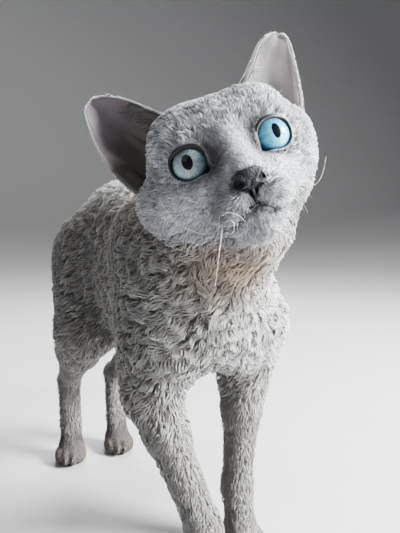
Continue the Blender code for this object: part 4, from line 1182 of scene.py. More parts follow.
@dataclass(frozen=True)
class Tube:
    """A closed round tube along points, of six or more sides."""

    sides: int = 8

    def data(self, path: Array, radii: Array, up: Array, flat: float = 1.0, looped: bool = False) -> MeshData:
        """Profile carried along a path: centre + r (cos t side + flat sin t up).

        Args:
            path: The path's points.
            radii: Radius at each.
            up: Upward vector at each.
            flat: Height of the section as a share of its width.
            looped: Whether the path closes on itself; a fan closes each end if not.

        Returns:
            The mesh's arrays.
        """
        ways = np.roll(path, -1, axis=0) - np.roll(path, 1, axis=0) if looped else np.gradient(path, axis=0)
        side = unit(np.cross(up, unit(ways)))
        over = np.cross(unit(ways), side)
        turn = np.linspace(0, 2 * math.pi, self.sides, endpoint=False)
        across, rise = np.cos(turn)[None, :, None], flat * np.sin(turn)[None, :, None]
        ring = across * side[:, None] + rise * over[:, None]
        body = (path[:, None] + ring * radii[:, None, None]).reshape(-1, 3)
        index = np.arange(len(body)).reshape(len(path), self.sides)
        if looped:
            return MeshData(body, [grid_faces(np.vstack([index, index[:1]]))])
        faces = [grid_faces(index), end_fans(index, len(body), len(body) + 1)]
        return MeshData(np.vstack([body, path[:1], path[-1:]]), faces)


@dataclass(frozen=True)
class Eyeball:
    """An eye: a ball turned to its gaze, whose rings run round the gaze, with places for iris and pupil."""

    seat: EyeSeat
    rings: int = 72
    sectors: int = 96

    def data(self) -> MeshData:
        """Points c + r (sin t cos u, -cos t, sin t sin u), with t from the gaze and a slight cornea."""
        polar = np.linspace(0.02, math.pi - 0.02, self.rings)
        round_gaze = np.linspace(0, 2 * math.pi, self.sectors, endpoint=False)
        t, u = (grid.ravel() for grid in np.meshgrid(polar, round_gaze, indexing="ij"))
        local = np.stack([np.sin(t) * np.cos(u), -np.cos(t), np.sin(t) * np.sin(u)], axis=1)
        radius = self.seat.shape.eye_radius + 0.45 * np.exp(-((t / 0.72) ** 4))
        index = np.arange(len(t)).reshape(self.rings, self.sectors)
        faces = [grid_faces(index)[:, ::-1], end_fans(index, len(t), len(t) + 1)[:, ::-1]]
        poles = np.array([[0, -1.0, 0], [0, 1.0, 0]])
        ends = [[self.seat.shape.eye_radius + 0.45], [radius[-1]]]
        ball = np.vstack([local * radius[:, None], poles * ends])
        gaze = np.vstack([local, poles]) * [-self.seat.side, 1, 1]
        points = self.seat.centre + ball * MM @ self.seat.axes.T
        return MeshData(points, faces, vectors={"gaze": gaze})


@dataclass(frozen=True)
class LidRim:
    """The dark wet edge of an eye's lids, with the tear corner."""

    seat: EyeSeat
    steps: int = 120
    out: float = 0.85

    def data(self) -> MeshData:
        """A flattened tube round the lids' opening, thicker at the inner corner."""
        angle = np.linspace(0, 2 * math.pi, self.steps, endpoint=False)
        points = self.seat.ring(angle, self.out, 0.25)
        inner = self.seat.from_corner(angle)
        radii = (0.92 + 0.75 * np.exp(-((inner / 0.33) ** 2)) + 0.28 * ease(np.sin(angle), 0.0, 0.8)) * MM
        return Tube(10).data(points, radii, unit(points - self.seat.centre), 0.85, True)


# The ear's sections from its foot to its tip: left and up of the middle, half the spread left and up, how far
# back it lies and how deep it bulges, all in mm, at the shares of the height in EAR_RISE.
EAR_STATIONS = (
    (25.0, 8.0, 11.0, -19.0, 28.5, 17.0), (33.5, 17.0, 12.5, -19.5, 28.5, 17.5),
    (42.0, 29.5, 14.0, -15.0, 32.0, 15.0), (47.5, 41.5, 13.0, -11.0, 37.0, 10.5),
    (51.5, 51.0, 10.0, -7.4, 40.0, 6.3), (54.4, 57.4, 6.5, -4.4, 41.5, 3.3),
    (55.7, 60.2, 4.3, -2.7, 42.8, 1.7), (56.4, 61.7, 2.2, -1.3, 43.6, 0.7),
    (56.6, 62.1, 0.3, -0.2, 43.9, 0.3),
)
EAR_RISE = (-0.22, 0.0, 0.3, 0.56, 0.78, 0.91, 0.965, 0.99, 1.0)


@dataclass(frozen=True)
class Ear:
    """An ear: a thin cupped sheet, bulging back, with folds inside and a rounded rim. Lengths in mm."""

    shape: CatShape
    side: int
    swivel: float
    shade: float = 1.0
    streak: float = 1.0
    columns: int = 81
    rows: int = 91
    thickness: float = 1.7
    lobe: Triple = (0.56, 0.54, 0.53)
    inner: Triple = (0.120, 0.108, 0.103)
    deep: Triple = (0.150, 0.136, 0.130)
    blush: Triple = (0.22, 0.20, 0.22)
    flesh: Triple = (0.052, 0.037, 0.036)
    back: Triple = (0.40, 0.40, 0.41)

    def middle(self, across: Array, rise: Array) -> Array:
        """Middle surface: at each height an arc that bulges back from the inner edge to the outer edge."""
        mid_x, mid_z, half_x, half_z, back, depth = smooth_rows(EAR_RISE, EAR_STATIONS, rise).T
        bulge = np.maximum(np.cos(across * math.pi / 2), 0.0) ** 0.8 * depth
        out, aft = across * half_x - 0.35 * bulge, bulge - 1.5 * across
        turn = math.radians(self.swivel)
        x = mid_x + out * math.cos(turn) - aft * math.sin(turn)
        y = back + out * math.sin(turn) + aft * math.cos(turn)
        z = mid_z + across * half_z + 0.2 * bulge
        return self.shape.head.place(np.stack([x * self.side, y, z], axis=1))

    def frame(self, across: Array, rise: Array) -> tuple[Array, Array, Array, Array]:
        """Point, way up the ear, way to the outer edge, and the way that its front faces."""
        step = 0.01
        inward = np.clip(across, -0.96, 0.96)
        level = np.minimum(rise, 0.985)
        up = self.middle(inward, level + step) - self.middle(inward, level - step)
        out = self.middle(inward + step, rise) - self.middle(inward - step, rise)
        front = unit(np.cross(up, out)) * self.side
        return self.middle(across, rise), unit(up), unit(out), -front

    def folds(self, across: Array, rise: Array) -> Array:
        """Relief of the inner face in mm: two ridges out of the cup's foot, and the pocket of the rim."""
        foot = 1 - ease(rise, 0.18, 0.62)
        ridge = np.exp(-(((across + 0.28 - 0.30 * rise) / 0.09) ** 2))
        ridge = ridge + 0.8 * np.exp(-(((across - 0.10 - 0.15 * rise) / 0.08) ** 2))
        pocket = np.exp(-(((across - 0.80) / 0.09) ** 2)) * np.exp(-(((rise - 0.14) / 0.10) ** 2))
        veins = np.sin(7 * across + 2.2 * np.sin(5.0 * rise)) * 0.10 * ease(rise, 0.2, 0.5)
        return 1.5 * ridge * foot + 1.6 * pocket + veins

    def tone(self, across: Array, rise: Array, front: bool) -> Array:
        """Colour: dark in the cup, blushed higher up, with a painted sheen, pale at the rim, and silver
        behind.
        """
        count = len(across)
        rim = np.maximum(ease(np.abs(across), 0.93, 1.0), ease(rise, 0.98, 1.0))
        if not front:
            base = np.tile(np.array(self.back), (count, 1))
            return blend_colour(base, self.lobe, 0.6 * rim)
        base = np.tile(np.array(self.inner), (count, 1))
        base = blend_colour(base, self.blush, 0.75 * ease(rise, 0.25, 0.75) * (1 - rim))
        cup = (1 - ease(rise, 0.12, 0.5)) * (1 - ease(np.abs(across), 0.5, 0.9))
        base = blend_colour(base, self.deep, 0.9 * cup)
        streak = np.exp(-(((across - 0.70 + 0.55 * rise) / 0.24) ** 2) - ((rise - 0.38) / 0.24) ** 2)
        base = blend_colour(base, self.flesh, np.minimum(1.6 * streak, 0.97) * self.streak)
        # A lighter band of blush down the inside: a painted sheen.
        sheen = np.exp(-(((across + 0.05 + 0.5 * rise) / 0.12) ** 2)) * (1 - rim)
        base = blend_colour(base, self.blush, 0.5 * sheen)
        # The inside is scaled by the ear's shade: painted light and shade, a lighter and a darker copy of one
        # colour.
        return blend_colour(base * self.shade, self.lobe, 0.75 * rim)

    def data(self) -> MeshData:
        """Two faces a thickness apart, which thin towards the rim and close on each other there."""
        steps = 1 - np.linspace(1, 0, self.rows) ** 1.5
        across, rise = (grid.ravel() for grid in np.meshgrid(
            np.sin(np.linspace(-1, 1, self.columns) * math.pi / 2), EAR_RISE[0] + (1 - EAR_RISE[0]) * steps
        ))
        middle, _, _, facing = self.frame(across, rise)
        edge = np.minimum(1 - np.abs(across), (1 - rise) * 2)
        half = 0.5 * self.thickness * np.sqrt(np.clip(edge / 0.10, 0.02, 1.0))
        folded = half + self.folds(across, rise) * np.minimum(edge * 6, 1)
        index = np.arange(len(middle)).reshape(self.rows, self.columns)
        quads, count = grid_faces(index, False), index.size
        rim = np.concatenate([index[0, :-1], index[:-1, -1], index[-1, :0:-1], index[:0:-1, 0]])
        onward = np.roll(rim, -1)
        band = np.stack([onward, onward + count, rim + count, rim], axis=1)
        faces = np.vstack([quads[:, ::-1], quads + count, band])
        points = np.vstack([middle + facing * (folded * MM)[:, None], middle - facing * (half * MM)[:, None]])
        tone = np.vstack([self.tone(across, rise, True), self.tone(across, rise, False)])
        return MeshData(points, [faces if self.side < 0 else faces[:, ::-1]], {"marking": tone})


@dataclass(frozen=True)
class Roots:
    """Where tufts stand and how each is to grow."""

    points: Array
    normals: Array
    ways: Array
    style: Array
    shares: Array
    tone: Array
    place: Array

    def part(self, chosen: Array) -> "Roots":
        """The chosen ones."""
        return Roots(*(getattr(self, row.name)[chosen] for row in fields(self)))


@dataclass(frozen=True)
class Tufts:
    """Thin curved tufts of three-cornered section, all worked out together from their roots."""

    rings: int
    seed: int
    sink: float = 0.7
    patch: float = 0.003
    thickness: float = 0.26
    round: float = 0.5

    def locks(self, roots: Roots) -> tuple[Array, Array, int]:
        """Groups roots into locks: cells of a grid of the lock's size, bent so that none is square.

        Args:
            roots: The roots.

        Returns:
            Each root's lock, the middle of that lock, and how many locks there are.
        """
        size = float(np.median(roots.style[:, LOCK])) * MM
        bent = roots.points + 0.5 * size * np.stack(
            [Ripples(31 + axis)(roots.points, 2.3 * size / MM) for axis in range(3)], axis=1
        )
        cells, lock = np.unique(np.floor(bent / size).astype(int), axis=0, return_inverse=True)
        lock = lock.ravel()
        number = np.bincount(lock, minlength=len(cells))[:, None]
        total = np.stack([np.bincount(lock, roots.points[:, i], len(cells)) for i in range(3)], axis=1)
        return lock, (total / number)[lock], len(cells)

    def paths(self, roots: Roots, cover: "CoatMap | None") -> tuple[Array, Array, Array]:
        """Each tuft's line: a heading in the skin's plane that sways, and a height that rises and waves.

        The heading at s along the tuft is stray + curl s + sway sin(2 pi (phase + waves s)), and its sum
        gives the line in the plane. The height is lift times a mix of 1 - e^(-4s), whose tip stands, and
        sin(pi s)^0.75, whose tip tucks in. The tufts of a lock curl alike and draw together at their tips.
        Where there is a coat map, the line then follows the skin's distance less the coat's waves.

        Args:
            roots: The roots.
            cover: The coat map, or None for a flat sheet.

        Returns:
            Points with a row for each tuft and a column for each ring, a brightness for each lock, and each
            ring's height in the waves from 0 to 1.
        """
        random = np.random.default_rng(self.seed)
        length, _, lift, relief, wave_length, sway, curl, gather, stray, tuck, _ = roots.style.T[:, :, None]
        count, s = len(roots.points), np.linspace(0, 1, self.rings + 1)[None, :]
        lock, centre, cells = self.locks(roots)
        own_curl = (random.uniform(0.35, 1, cells) * np.sign(random.uniform(-1, 1, cells)))[lock][:, None]
        own_curl = own_curl + random.normal(0, 0.10, (count, 1))
        own_phase = random.uniform(0, 1, cells)[lock][:, None]
        start = stray * (random.normal(0, 1, cells)[lock][:, None] + random.normal(0, 0.25, (count, 1)))
        length = length * random.uniform(0.8, 1.15, (count, 1))
        turns = 2 * math.pi * (own_phase + length * s / wave_length)
        heading = np.radians(start + curl * own_curl * (s - 0.25) + sway * np.sin(turns))
        step = length / self.rings * MM
        side = np.cross(roots.normals, roots.ways)
        ahead = np.cumsum(np.cos(heading) * step, axis=1) - np.cos(heading[:, :1]) * step
        aside = np.cumsum(np.sin(heading) * step, axis=1) - np.sin(heading[:, :1]) * step
        standing = 1 - np.exp(-4 * s)
        tucked = np.sin(math.pi * np.clip(0.06 + 0.92 * s, 0, 1)) ** 0.75
        rise = lift * random.uniform(0.75, 1.2, (count, 1)) * (standing * (1 - tuck) + tucked * tuck)
        height = rise * MM
        height[:, 0] = -self.sink * MM
        plane = ahead[..., None] * roots.ways[:, None] + aside[..., None] * side[:, None]
        pull = centre - roots.points
        pull -= (pull * roots.normals).sum(1)[:, None] * roots.normals
        plane += roots.points[:, None] + pull[:, None] * (gather * s)[..., None]
        points = plane + height[..., None] * roots.normals[:, None]
        bright = random.normal(1, 0.11, cells)[lock][:, None]
        waves = np.full(height.shape, 0.5)
        if cover is None:
            return points, bright, waves
        shares = np.repeat(roots.shares, self.rings + 1, axis=0)
        size, span = (np.repeat(roots.style[:, i], self.rings + 1) for i in (RELIEF, WAVE))
        for _ in range(2):
            spots = points.reshape(-1, 3)
            bump = cover.relief(spots, shares, size, span).reshape(height.shape)
            gap = height + bump * MM - cover.form.level(spots).reshape(height.shape)
            gap = np.clip(gap, -4 * MM, 4 * MM)
            gap[:, 0] = 0
            points = points + 0.9 * gap[..., None] * roots.normals[:, None]
        return points, bright, bump / np.maximum(relief, 0.05)

    def data(self, roots: Roots, cover: "CoatMap | None") -> MeshData:
        """Rings of three corners along each line, whose width tapers as 1 - s^3, and a point at the tip.

        Args:
            roots: The roots.
            cover: The coat map, or None for a flat sheet.

        Returns:
            The mesh's arrays, with colours, hair directions and the bake's own map.
        """
        random = np.random.default_rng(self.seed + 1)
        line, lock_tone, wave = self.paths(roots, cover)
        count, rings = len(line), self.rings
        way = unit(np.gradient(line, axis=1))
        across = unit(np.cross(way, roots.normals[:, None]))
        above = np.cross(across, way)
        s = np.linspace(0, 1, rings + 1)
        taper = (0.55 + 0.45 * np.sin(np.minimum(s * 2.2, 1) * math.pi / 2)) * (1 - s**3)
        width = roots.style[:, [WIDTH]] * random.uniform(0.75, 1.25, (count, 1)) * taper[None] * MM
        corners = np.stack([
            line - across * width[..., None] / 2, line + across * width[..., None] / 2,
            line + above * width[..., None] * self.thickness,
        ], axis=2)[:, :rings].reshape(count, rings * 3, 3)
        points = np.concatenate([corners, line[:, -1:]], axis=1)
        leaned = np.stack([above - self.round * across, above + self.round * across, above], axis=2)
        leaned = np.concatenate([leaned[:, :rings].reshape(count, rings * 3, 3), above[:, -1:]], axis=1)
        sides, last = ((0, 1), (1, 2), (2, 0)), 3 * (rings - 1)
        quads = [(r + d, r + c, r + 3 + c, r + 3 + d) for r in range(0, last, 3) for c, d in sides]
        caps = [(0, 1, 2)] + [(last + d, last + c, last + 3) for c, d in sides]
        start = np.arange(count)[:, None, None] * (rings * 3 + 1)
        faces = [(np.array(rows)[None] + start).reshape(-1, len(rows[0])) for rows in (quads, caps)]
        along = np.concatenate([np.repeat(s[:rings], 3), [1.0]])
        cross = np.concatenate([np.tile([0.0, 1.0, 0.5], rings), [0.5]])
        shade = np.concatenate([np.repeat(wave[:, :rings], 3, axis=1), wave[:, -1:]], axis=1)
        # Darker towards the root: painted shade deep in the coat. Darker in the waves' troughs and lighter on
        # their crests:
        # painted shade and light. Each lock's and each tuft's own brightness at random comes on top.
        bright = (0.80 + 0.26 * along[None]) * (0.76 + 0.46 * shade) * lock_tone
        bright = bright * random.normal(1, 0.14, (count, 1))
        tone = roots.tone[:, None] * bright[..., None]
        warm = 1 + random.normal(0, 0.025, (count, 1, 1)) * np.array([1.0, 0.1, -1.0])
        fibre = np.stack(np.broadcast_arrays(
            cross * roots.style[:, [WIDTH]], along * roots.style[:, [LENGTH]],
            random.uniform(0, 100, (count, 1)),
        ), axis=-1)
        flat = roots.place[:, None] + self.patch * (np.stack([cross, along], axis=1)[None] - 0.5)
        loops = np.concatenate([part.ravel() for part in faces])
        return MeshData(
            points.reshape(-1, 3), faces, {"marking": np.clip(tone * warm, 0.01, 0.95).reshape(-1, 3)},
            {"fibre": fibre.reshape(-1, 3)}, {"OFBake": flat.reshape(-1, 2)[loops]},
            unit(leaned).reshape(-1, 3),
        )


@dataclass(frozen=True)
class Chain:
    """A line of joints that part of the skin is unwrapped round, with the reach of its rounded ends."""

    joints: Array
    guide: Triple
    cap: float


@dataclass(frozen=True)
class Unwrap:
    """Unwraps the skin into columns, one for each chain: the angle round it, and the length along it."""

    chains: tuple[Chain, ...]

    def place(self, points: Array) -> Array:
        """Where each point falls on the unit square, from the chain that is nearest to it."""
        best, flat = np.full(len(points), np.inf), np.zeros((len(points), 2))
        for column, chain in enumerate(self.chains):
            joints, rows = chain.joints, np.arange(len(points))
            spans = np.diff(joints, axis=0)
            lengths = np.linalg.norm(spans, axis=1)
            starts = np.concatenate([[0], np.cumsum(lengths)[:-1]])
            ways = spans / lengths[:, None]
            offset = points[:, None] - joints[None, :-1]
            run = (offset * ways).sum(2)
            held = np.clip(run, 0, lengths)
            away = np.linalg.norm(offset - held[..., None] * ways, axis=2)
            nearest = away.argmin(axis=1)
            way, run, own = ways[nearest], run[rows, nearest], offset[rows, nearest]
            radial = own - run[:, None] * way
            right = unit(np.cross(way, np.array(chain.guide)))
            over = np.cross(right, way)
            angle = np.arctan2((radial * right).sum(1), (radial * over).sum(1)) / (2 * math.pi) + 0.5
            radius = np.linalg.norm(radial, axis=1)
            beyond = np.where(nearest == len(ways) - 1, np.maximum(run - lengths[-1], 0), 0)
            before = np.where(nearest == 0, np.minimum(run, 0), 0)
            along = starts[nearest] + held[rows, nearest]
            along = along + chain.cap * np.arctan2(beyond + before, np.maximum(radius, 1e-5))
            total, reach = lengths.sum(), chain.cap * math.pi / 2
            rise = (along + reach) / (total + 2 * reach)
            closer = away[rows, nearest] < best
            best = np.where(closer, away[rows, nearest], best)
            margin = 0.01
            u = (column + margin + (1 - 2 * margin) * angle) / len(self.chains)
            spot = np.stack([u, margin + (1 - 2 * margin) * rise], axis=1)
            flat = np.where(closer[:, None], spot, flat)
        return flat


@dataclass
class Coat:
    """The whole coat: roots spread over the skin, sorted into pieces, each a mesh of tufts.

    The spacing, the bare height over the floor and the largest gap to the skin are in mm.
    """

    form: SkinShape
    markings: Markings
    cover: CoatMap
    seed: int = 5
    tries: float = 3.2
    bare_height: float = 3.0
    largest_gap: float = 0.8
    spacing: dict = field(default_factory=lambda: {
        "face": 0.80, "crown": 0.92, "neck": 1.6, "trunk": 1.86,
        "bib": 1.45, "legs": 1.5, "paws": 1.2, "tail": 1.6,
    })
    rings: dict = field(default_factory=lambda: {
        "face": 2, "crown": 2, "neck": 4, "trunk": 4, "bib": 6, "legs": 3, "paws": 2, "tail": 3,
    })
    piece_limit: int = 190000

    def roots(self, skin: bpy.types.Object, shift: Array) -> dict[str, Roots]:
        """Roots of each zone, spread by area over the skin and thinned to one a cell of its spacing."""
        random = np.random.default_rng(self.seed)
        mesh = skin.data
        mesh.calc_loop_triangles()
        index = np.empty(len(mesh.loop_triangles) * 3, np.int32)
        mesh.loop_triangles.foreach_get("vertices", index)
        corners = (mesh_points(mesh) - shift)[index.reshape(-1, 3)]
        spans = corners[:, 1:] - corners[:, :1]
        area = np.linalg.norm(np.cross(spans[:, 0], spans[:, 1]), axis=1) / 2
        cover, middle, unwraps = self.cover, corners.mean(axis=1), self.unwraps()
        shares = cover.weights(middle)
        names = list(shares)
        zone = np.stack([shares[name] for name in names]).argmax(axis=0)
        found = {}
        for number, name in enumerate(names):
            chosen = np.flatnonzero((zone == number) & (area > 0))
            if not len(chosen):
                continue
            spacing = self.spacing[name] * MM
            count = int(area[chosen].sum() / spacing**2 * self.tries)
            picked = chosen[random.choice(len(chosen), count, p=area[chosen] / area[chosen].sum())]
            a, b = random.uniform(size=(2, count, 1))
            over = a + b > 1
            a, b = np.where(over, 1 - a, a), np.where(over, 1 - b, b)
            triangle = corners[picked]
            points = triangle[:, 0] + a * (triangle[:, 1] - triangle[:, 0])
            points = points + b * (triangle[:, 2] - triangle[:, 0])
            points = points[np.unique(np.floor(points / spacing).astype(int), axis=0, return_index=True)[1]]
            points = points[(points[:, 2] > self.bare_height * MM) & (cover.clear(points) > 0)]
            points = points[np.abs(self.form.level(points)) < self.largest_gap * MM]
            normals = self.form.normals(points)
            style, tone = cover.values(points), self.markings.colour(points)
            style[:, LENGTH] *= 0.24 + 0.76 * ease(cover.clear(points), 0.0, 4.5)
            held = cover.weights(points)
            low = np.clip(held["legs"] + held["paws"], 0, 1)
            part = np.stack([held["face"] + held["crown"], low], axis=1)
            place = unwraps[name].place(points)
            found[name] = Roots(points, normals, cover.lie(points, normals), style, part, tone, place)
            log.info("coat zone %s: %.0f mm2, %d roots", name, area[chosen].sum() * 1e6, len(points))
        return found

    def unwraps(self) -> dict[str, Unwrap]:
        """How each zone's skin is unwrapped."""
        shape = self.form.shape
        trunk = shape.trunk
        spine = Chain(np.array([trunk.point(a, 0, 198) for a in (-70, -30, 20, 75)]), (0, 0, 1), 0.04)
        head = Chain(shape.head.place(np.array([(0, 34, -2), (0, -6, -8)])), (0, 0, 1), 0.035)
        neck = Chain(np.vstack([trunk.point(60, 0, 206), shape.head.place((0, 30, 0))]), (0, 0, 1), 0.03)
        tail = Chain(np.array(shape.tail.route, float) * MM, (0, 0, 1), 0.008)
        legs = tuple(
            Chain(np.vstack([np.array(leg.joints, float), leg.paw.place((0, -6, 8))]) * MM, (1, 0, 0), 0.012)
            for leg in shape.legs
        )
        chains = {
            "face": (head,), "crown": (head,), "neck": (neck,), "trunk": (spine,), "bib": (spine,),
            "legs": legs, "paws": legs, "tail": (tail,),
        }
        return {name: Unwrap(own) for name, own in chains.items()}

    def build(self, skin: bpy.types.Object, shift: Array) -> list[bpy.types.Object]:
        """Makes each zone's tufts, in as many pieces as the limit on triangles asks."""
        made = []
        for name, roots in self.roots(skin, shift).items():
            tufts = Tufts(self.rings[name], self.seed + len(made))
            each = 6 * (self.rings[name] - 1) + 4
            pieces = math.ceil(len(roots.points) * each / self.piece_limit)
            order = np.argsort(roots.points @ np.array([0.3, 1.0, 0.5]))
            for number, chosen in enumerate(np.array_split(order, pieces)):
                label = f"coat_{name}_{number + 1}" if pieces > 1 else f"coat_{name}"
                data = tufts.data(roots.part(chosen), self.cover)
                made.append(data.make(label, shift))
                log.info("%s: %d tufts, %d triangles", label, len(chosen), len(chosen) * each)
        return made


@dataclass
class EarDown:
    """Short hair on an ear: close on its back, a fuzz past its rim, and long hair at the foot of the cup."""

    ear: Ear
    seed: int
    back_style: CoatStyle = CoatStyle(3.4, 0.6, 0.5, 0.0, 6.0, 6.0, 10.0, 0.3, 9.0, 0.2, 3.0)
    rim_style: CoatStyle = CoatStyle(1.3, 0.20, 0.3, 0.0, 6.0, 8.0, 12.0, 0.2, 10.0, 0.0, 2.5)
    cup_style: CoatStyle = CoatStyle(7.5, 0.17, 2.2, 0.0, 9.0, 10.0, 22.0, 0.35, 20.0, 0.0, 5.0)
    silver: Triple = (0.46, 0.46, 0.47)
    pale: Triple = (0.55, 0.54, 0.53)
    cup: Triple = (0.36, 0.345, 0.33)
    on_back: int = 3600
    on_rim: int = 2800
    on_tip: int = 260
    in_cup: int = 520

    def _roots(
        self, across: Array, rise: Array, style: CoatStyle, facing: float, outward: float, tone: Array,
        column: int,
    ) -> Roots:
        """Roots at places on the sheet, whose ways mix up the ear with out over its edge."""
        middle, up, out, front = self.ear.frame(across, rise)
        normals = front * facing
        points = middle + normals * (0.4 * self.ear.thickness * MM)
        ways = up + out * (np.sign(across) * outward)[:, None]
        ways = unit(ways - (ways * normals).sum(1)[:, None] * normals)
        shares = np.stack([(across + 1) / 2, np.clip(rise, 0, 1)], axis=1)
        place = (np.array([column, 0]) + 0.02 + 0.96 * shares) / [3, 1]
        rows = np.tile(astuple(style), (len(across), 1))
        return Roots(points, normals, ways, rows, np.zeros((len(across), 2)), tone, place)

    def data(self) -> MeshData:
        """The three kinds of hair as one piece: on the back, along the rim and in the cup."""
        random = np.random.default_rng(self.seed)

        def shaded(colour: Triple, spread: float, count: int) -> Array:
            """The colour for each hair, of uneven brightness."""
            return np.tile(np.array(colour), (count, 1)) * random.normal(1, spread, (count, 1))

        across = random.uniform(-0.93, 0.93, self.on_back)
        rise = random.uniform(0.0, 1.0, self.on_back) ** 1.25 * 0.95
        tone = shaded(self.silver, 0.1, len(across))
        kinds = [(self._roots(across, rise, self.back_style, -1.0, 0.25, tone, 0), 2)]
        edge = np.sign(random.uniform(-1, 1, self.on_rim)) * random.uniform(0.97, 1.0, self.on_rim)
        rise = random.uniform(0.0, 1, self.on_rim)
        edge = np.concatenate([edge, random.uniform(-1, 1, self.on_tip)])
        rise = np.concatenate([rise, random.uniform(0.985, 0.998, self.on_tip)])
        tone = shaded(self.pale, 0.08, len(edge))
        kinds.append((self._roots(edge, rise, self.rim_style, 1.0, 1.6, tone, 1), 2))
        across = -0.99 + 0.5 * random.uniform(0, 1, self.in_cup) ** 2
        rise = 0.62 * random.uniform(0, 1, self.in_cup) ** 1.3
        tone = np.tile(np.array(self.cup), (self.in_cup, 1)) * random.uniform(0.6, 1.3, (self.in_cup, 1))
        kinds.append((self._roots(across, rise, self.cup_style, 1.0, -0.5, tone, 2), 4))
        tufts = [Tufts(rings, self.seed + n, 0.2).data(roots, None) for n, (roots, rings) in enumerate(kinds)]
        return merged(tufts)


# Long whiskers, as knots in mm of the head.
LONG_WHISKERS = (
    (
        (-36.4, 4.5, -4.6), (-38.0, -2.9, -12.4), (-35.4, -2.8, -21.3), (-30.2, -0.9, -27.4),
        (-23.8, 3.2, -31.9),
    ),
    ((-16.0, -20.5, -29.4), (-20.4, -28.9, -37.1), (-25.1, -30.4, -46.0), (-29.7, -30.3, -55.1)),
    ((-13.4, -26.0, -27.9), (-13.2, -28.9, -32.1), (-14.4, -25.5, -36.3), (-17.5, -22.7, -36.5)),
    ((-15.5, -24.9, -27.6), (-14.5, -31.7, -28.4), (-11.0, -32.3, -31.0), (-9.0, -31.0, -34.5)),
    ((27.0, 9.3, -26.9), (35.0, 6.2, -26.7), (39.6, 4.4, -22.6), (42.9, 2.6, -16.5)),
)


@dataclass
class Whiskers:
    """Crinkled whiskers: a few long ones, short ones on the pads, and some hairs over the eyes."""

    form: SkinShape
    seed: int = 12
    rings: int = 22
    radius: float = 0.15

    def data(self) -> MeshData:
        """Each short hair is an arc that droops, crinkled: r(s) = root + arc + a s sin(2 pi w s)."""
        random = np.random.default_rng(self.seed)
        head, parts = self.form.shape.head, []
        s = np.linspace(0, 1, self.rings)[:, None]
        for knots in LONG_WHISKERS:
            line = head.place(smooth_rows(np.arange(len(knots)), knots, s[:, 0] * (len(knots) - 1)))
            short = np.maximum(3.0 * MM - self.form.level(line), 0.0) * ease(s[:, 0], 0.0, 0.2)
            line = line + self.form.normals(line) * short[:, None]
            guide = np.tile(head.turn @ np.array([0.3, -1.0, 0.2]), (self.rings, 1))
            parts.append(Tube(5).data(line, 1.3 * self.radius * MM * (1.15 - 0.8 * s[:, 0]), guide))
        starts, ways, lengths = [], [], []
        for side in (-1, 1):
            for row in range(3):
                for place in range(3):
                    starts.append((side * (9.5 + 3.0 * place), -27.0 + 2.8 * place, -23.0 - 2.9 * row))
                    ways.append((side * (0.9 + 0.15 * place), -0.1 + 0.25 * place, -0.45 - 0.30 * row))
                    lengths.append(random.uniform(4, 11))
            for place in range(4):
                starts.append((side * (15 + 3.4 * place), -9 + 1.2 * place, 12.5 + 0.4 * place))
                ways.append((side * (0.25 + 0.16 * place), -0.35, 0.8))
                lengths.append(random.uniform(5, 10))
        roots = self.form.settle(head.place(np.array(starts)), 3, -0.4 * MM)
        for root, way, length in zip(roots, np.array(ways), lengths):
            way = head.turn @ unit(way + random.normal(0, 0.12, 3))
            down = np.array([0, 0, -1.0]) - way * -way[2]
            across = unit(np.cross(way, down) + random.normal(0, 0.2, 3))
            bend = random.uniform(0.25, 0.6)
            waves, phase = length / random.uniform(8, 12), random.uniform(0, 2 * math.pi)
            crinkle = 0.045 * length * s * (np.sin(2 * math.pi * waves * s + phase) - math.sin(phase))
            path = root + length * MM * (s * way + bend * s * s * down) + across * crinkle * MM
            radii = 0.75 * self.radius * MM * (1 - 0.8 * s[:, 0])
            parts.append(Tube(5).data(path, radii, np.tile(across, (self.rings, 1))))
        return merged(parts)


@dataclass
class Claws:
    """The tips of the claws, drawn in between the toes' hair."""

    shape: CatShape

    def data(self) -> MeshData:
        """Each claw is a round profile that tapers along a quarter arc down over the toe's tip."""
        parts, s = [], np.linspace(0, 1, 9)
        for leg in self.shape.legs:
            paw = leg.paw
            for across, forward, splay in paw.toes:
                way = turned(yaw=splay) @ np.array([0, -1.0, 0])
                start = np.array([across, forward, 8.6]) + way * 7.0
                down = np.outer(3.4 * (1 - np.cos(s * 1.3)), [0, 0, 1])
                path = start + np.outer(3.6 * np.sin(s * 1.3), way) - down
                up = np.tile([1.0, 0, 0], (len(s), 1))
                parts.append(Tube(8).data(paw.place(path) * MM, (0.95 - 0.8 * s) * MM, up, 0.7))
        return merged(parts)


@dataclass
class MouthLine:
    """The dark lips in the slit of the mouth and the groove of the upper lip."""

    form: SkinShape

    def data(self) -> MeshData:
        """A thin round profile along each line, narrow at its ends, sunk in its slit."""
        parts = []
        for knots, side in ((self.form.mouth, -1), (self.form.mouth, 1), (self.form.groove, 1)):
            line = self.form.line(knots, side, 30)
            normals = self.form.normals(line)
            radii = (0.35 + 0.50 * np.sin(np.linspace(0.25, 0.95, 30) * math.pi)) * MM
            parts.append(Tube(8).data(line - normals * 0.22 * MM, radii, normals))
        return merged(parts)


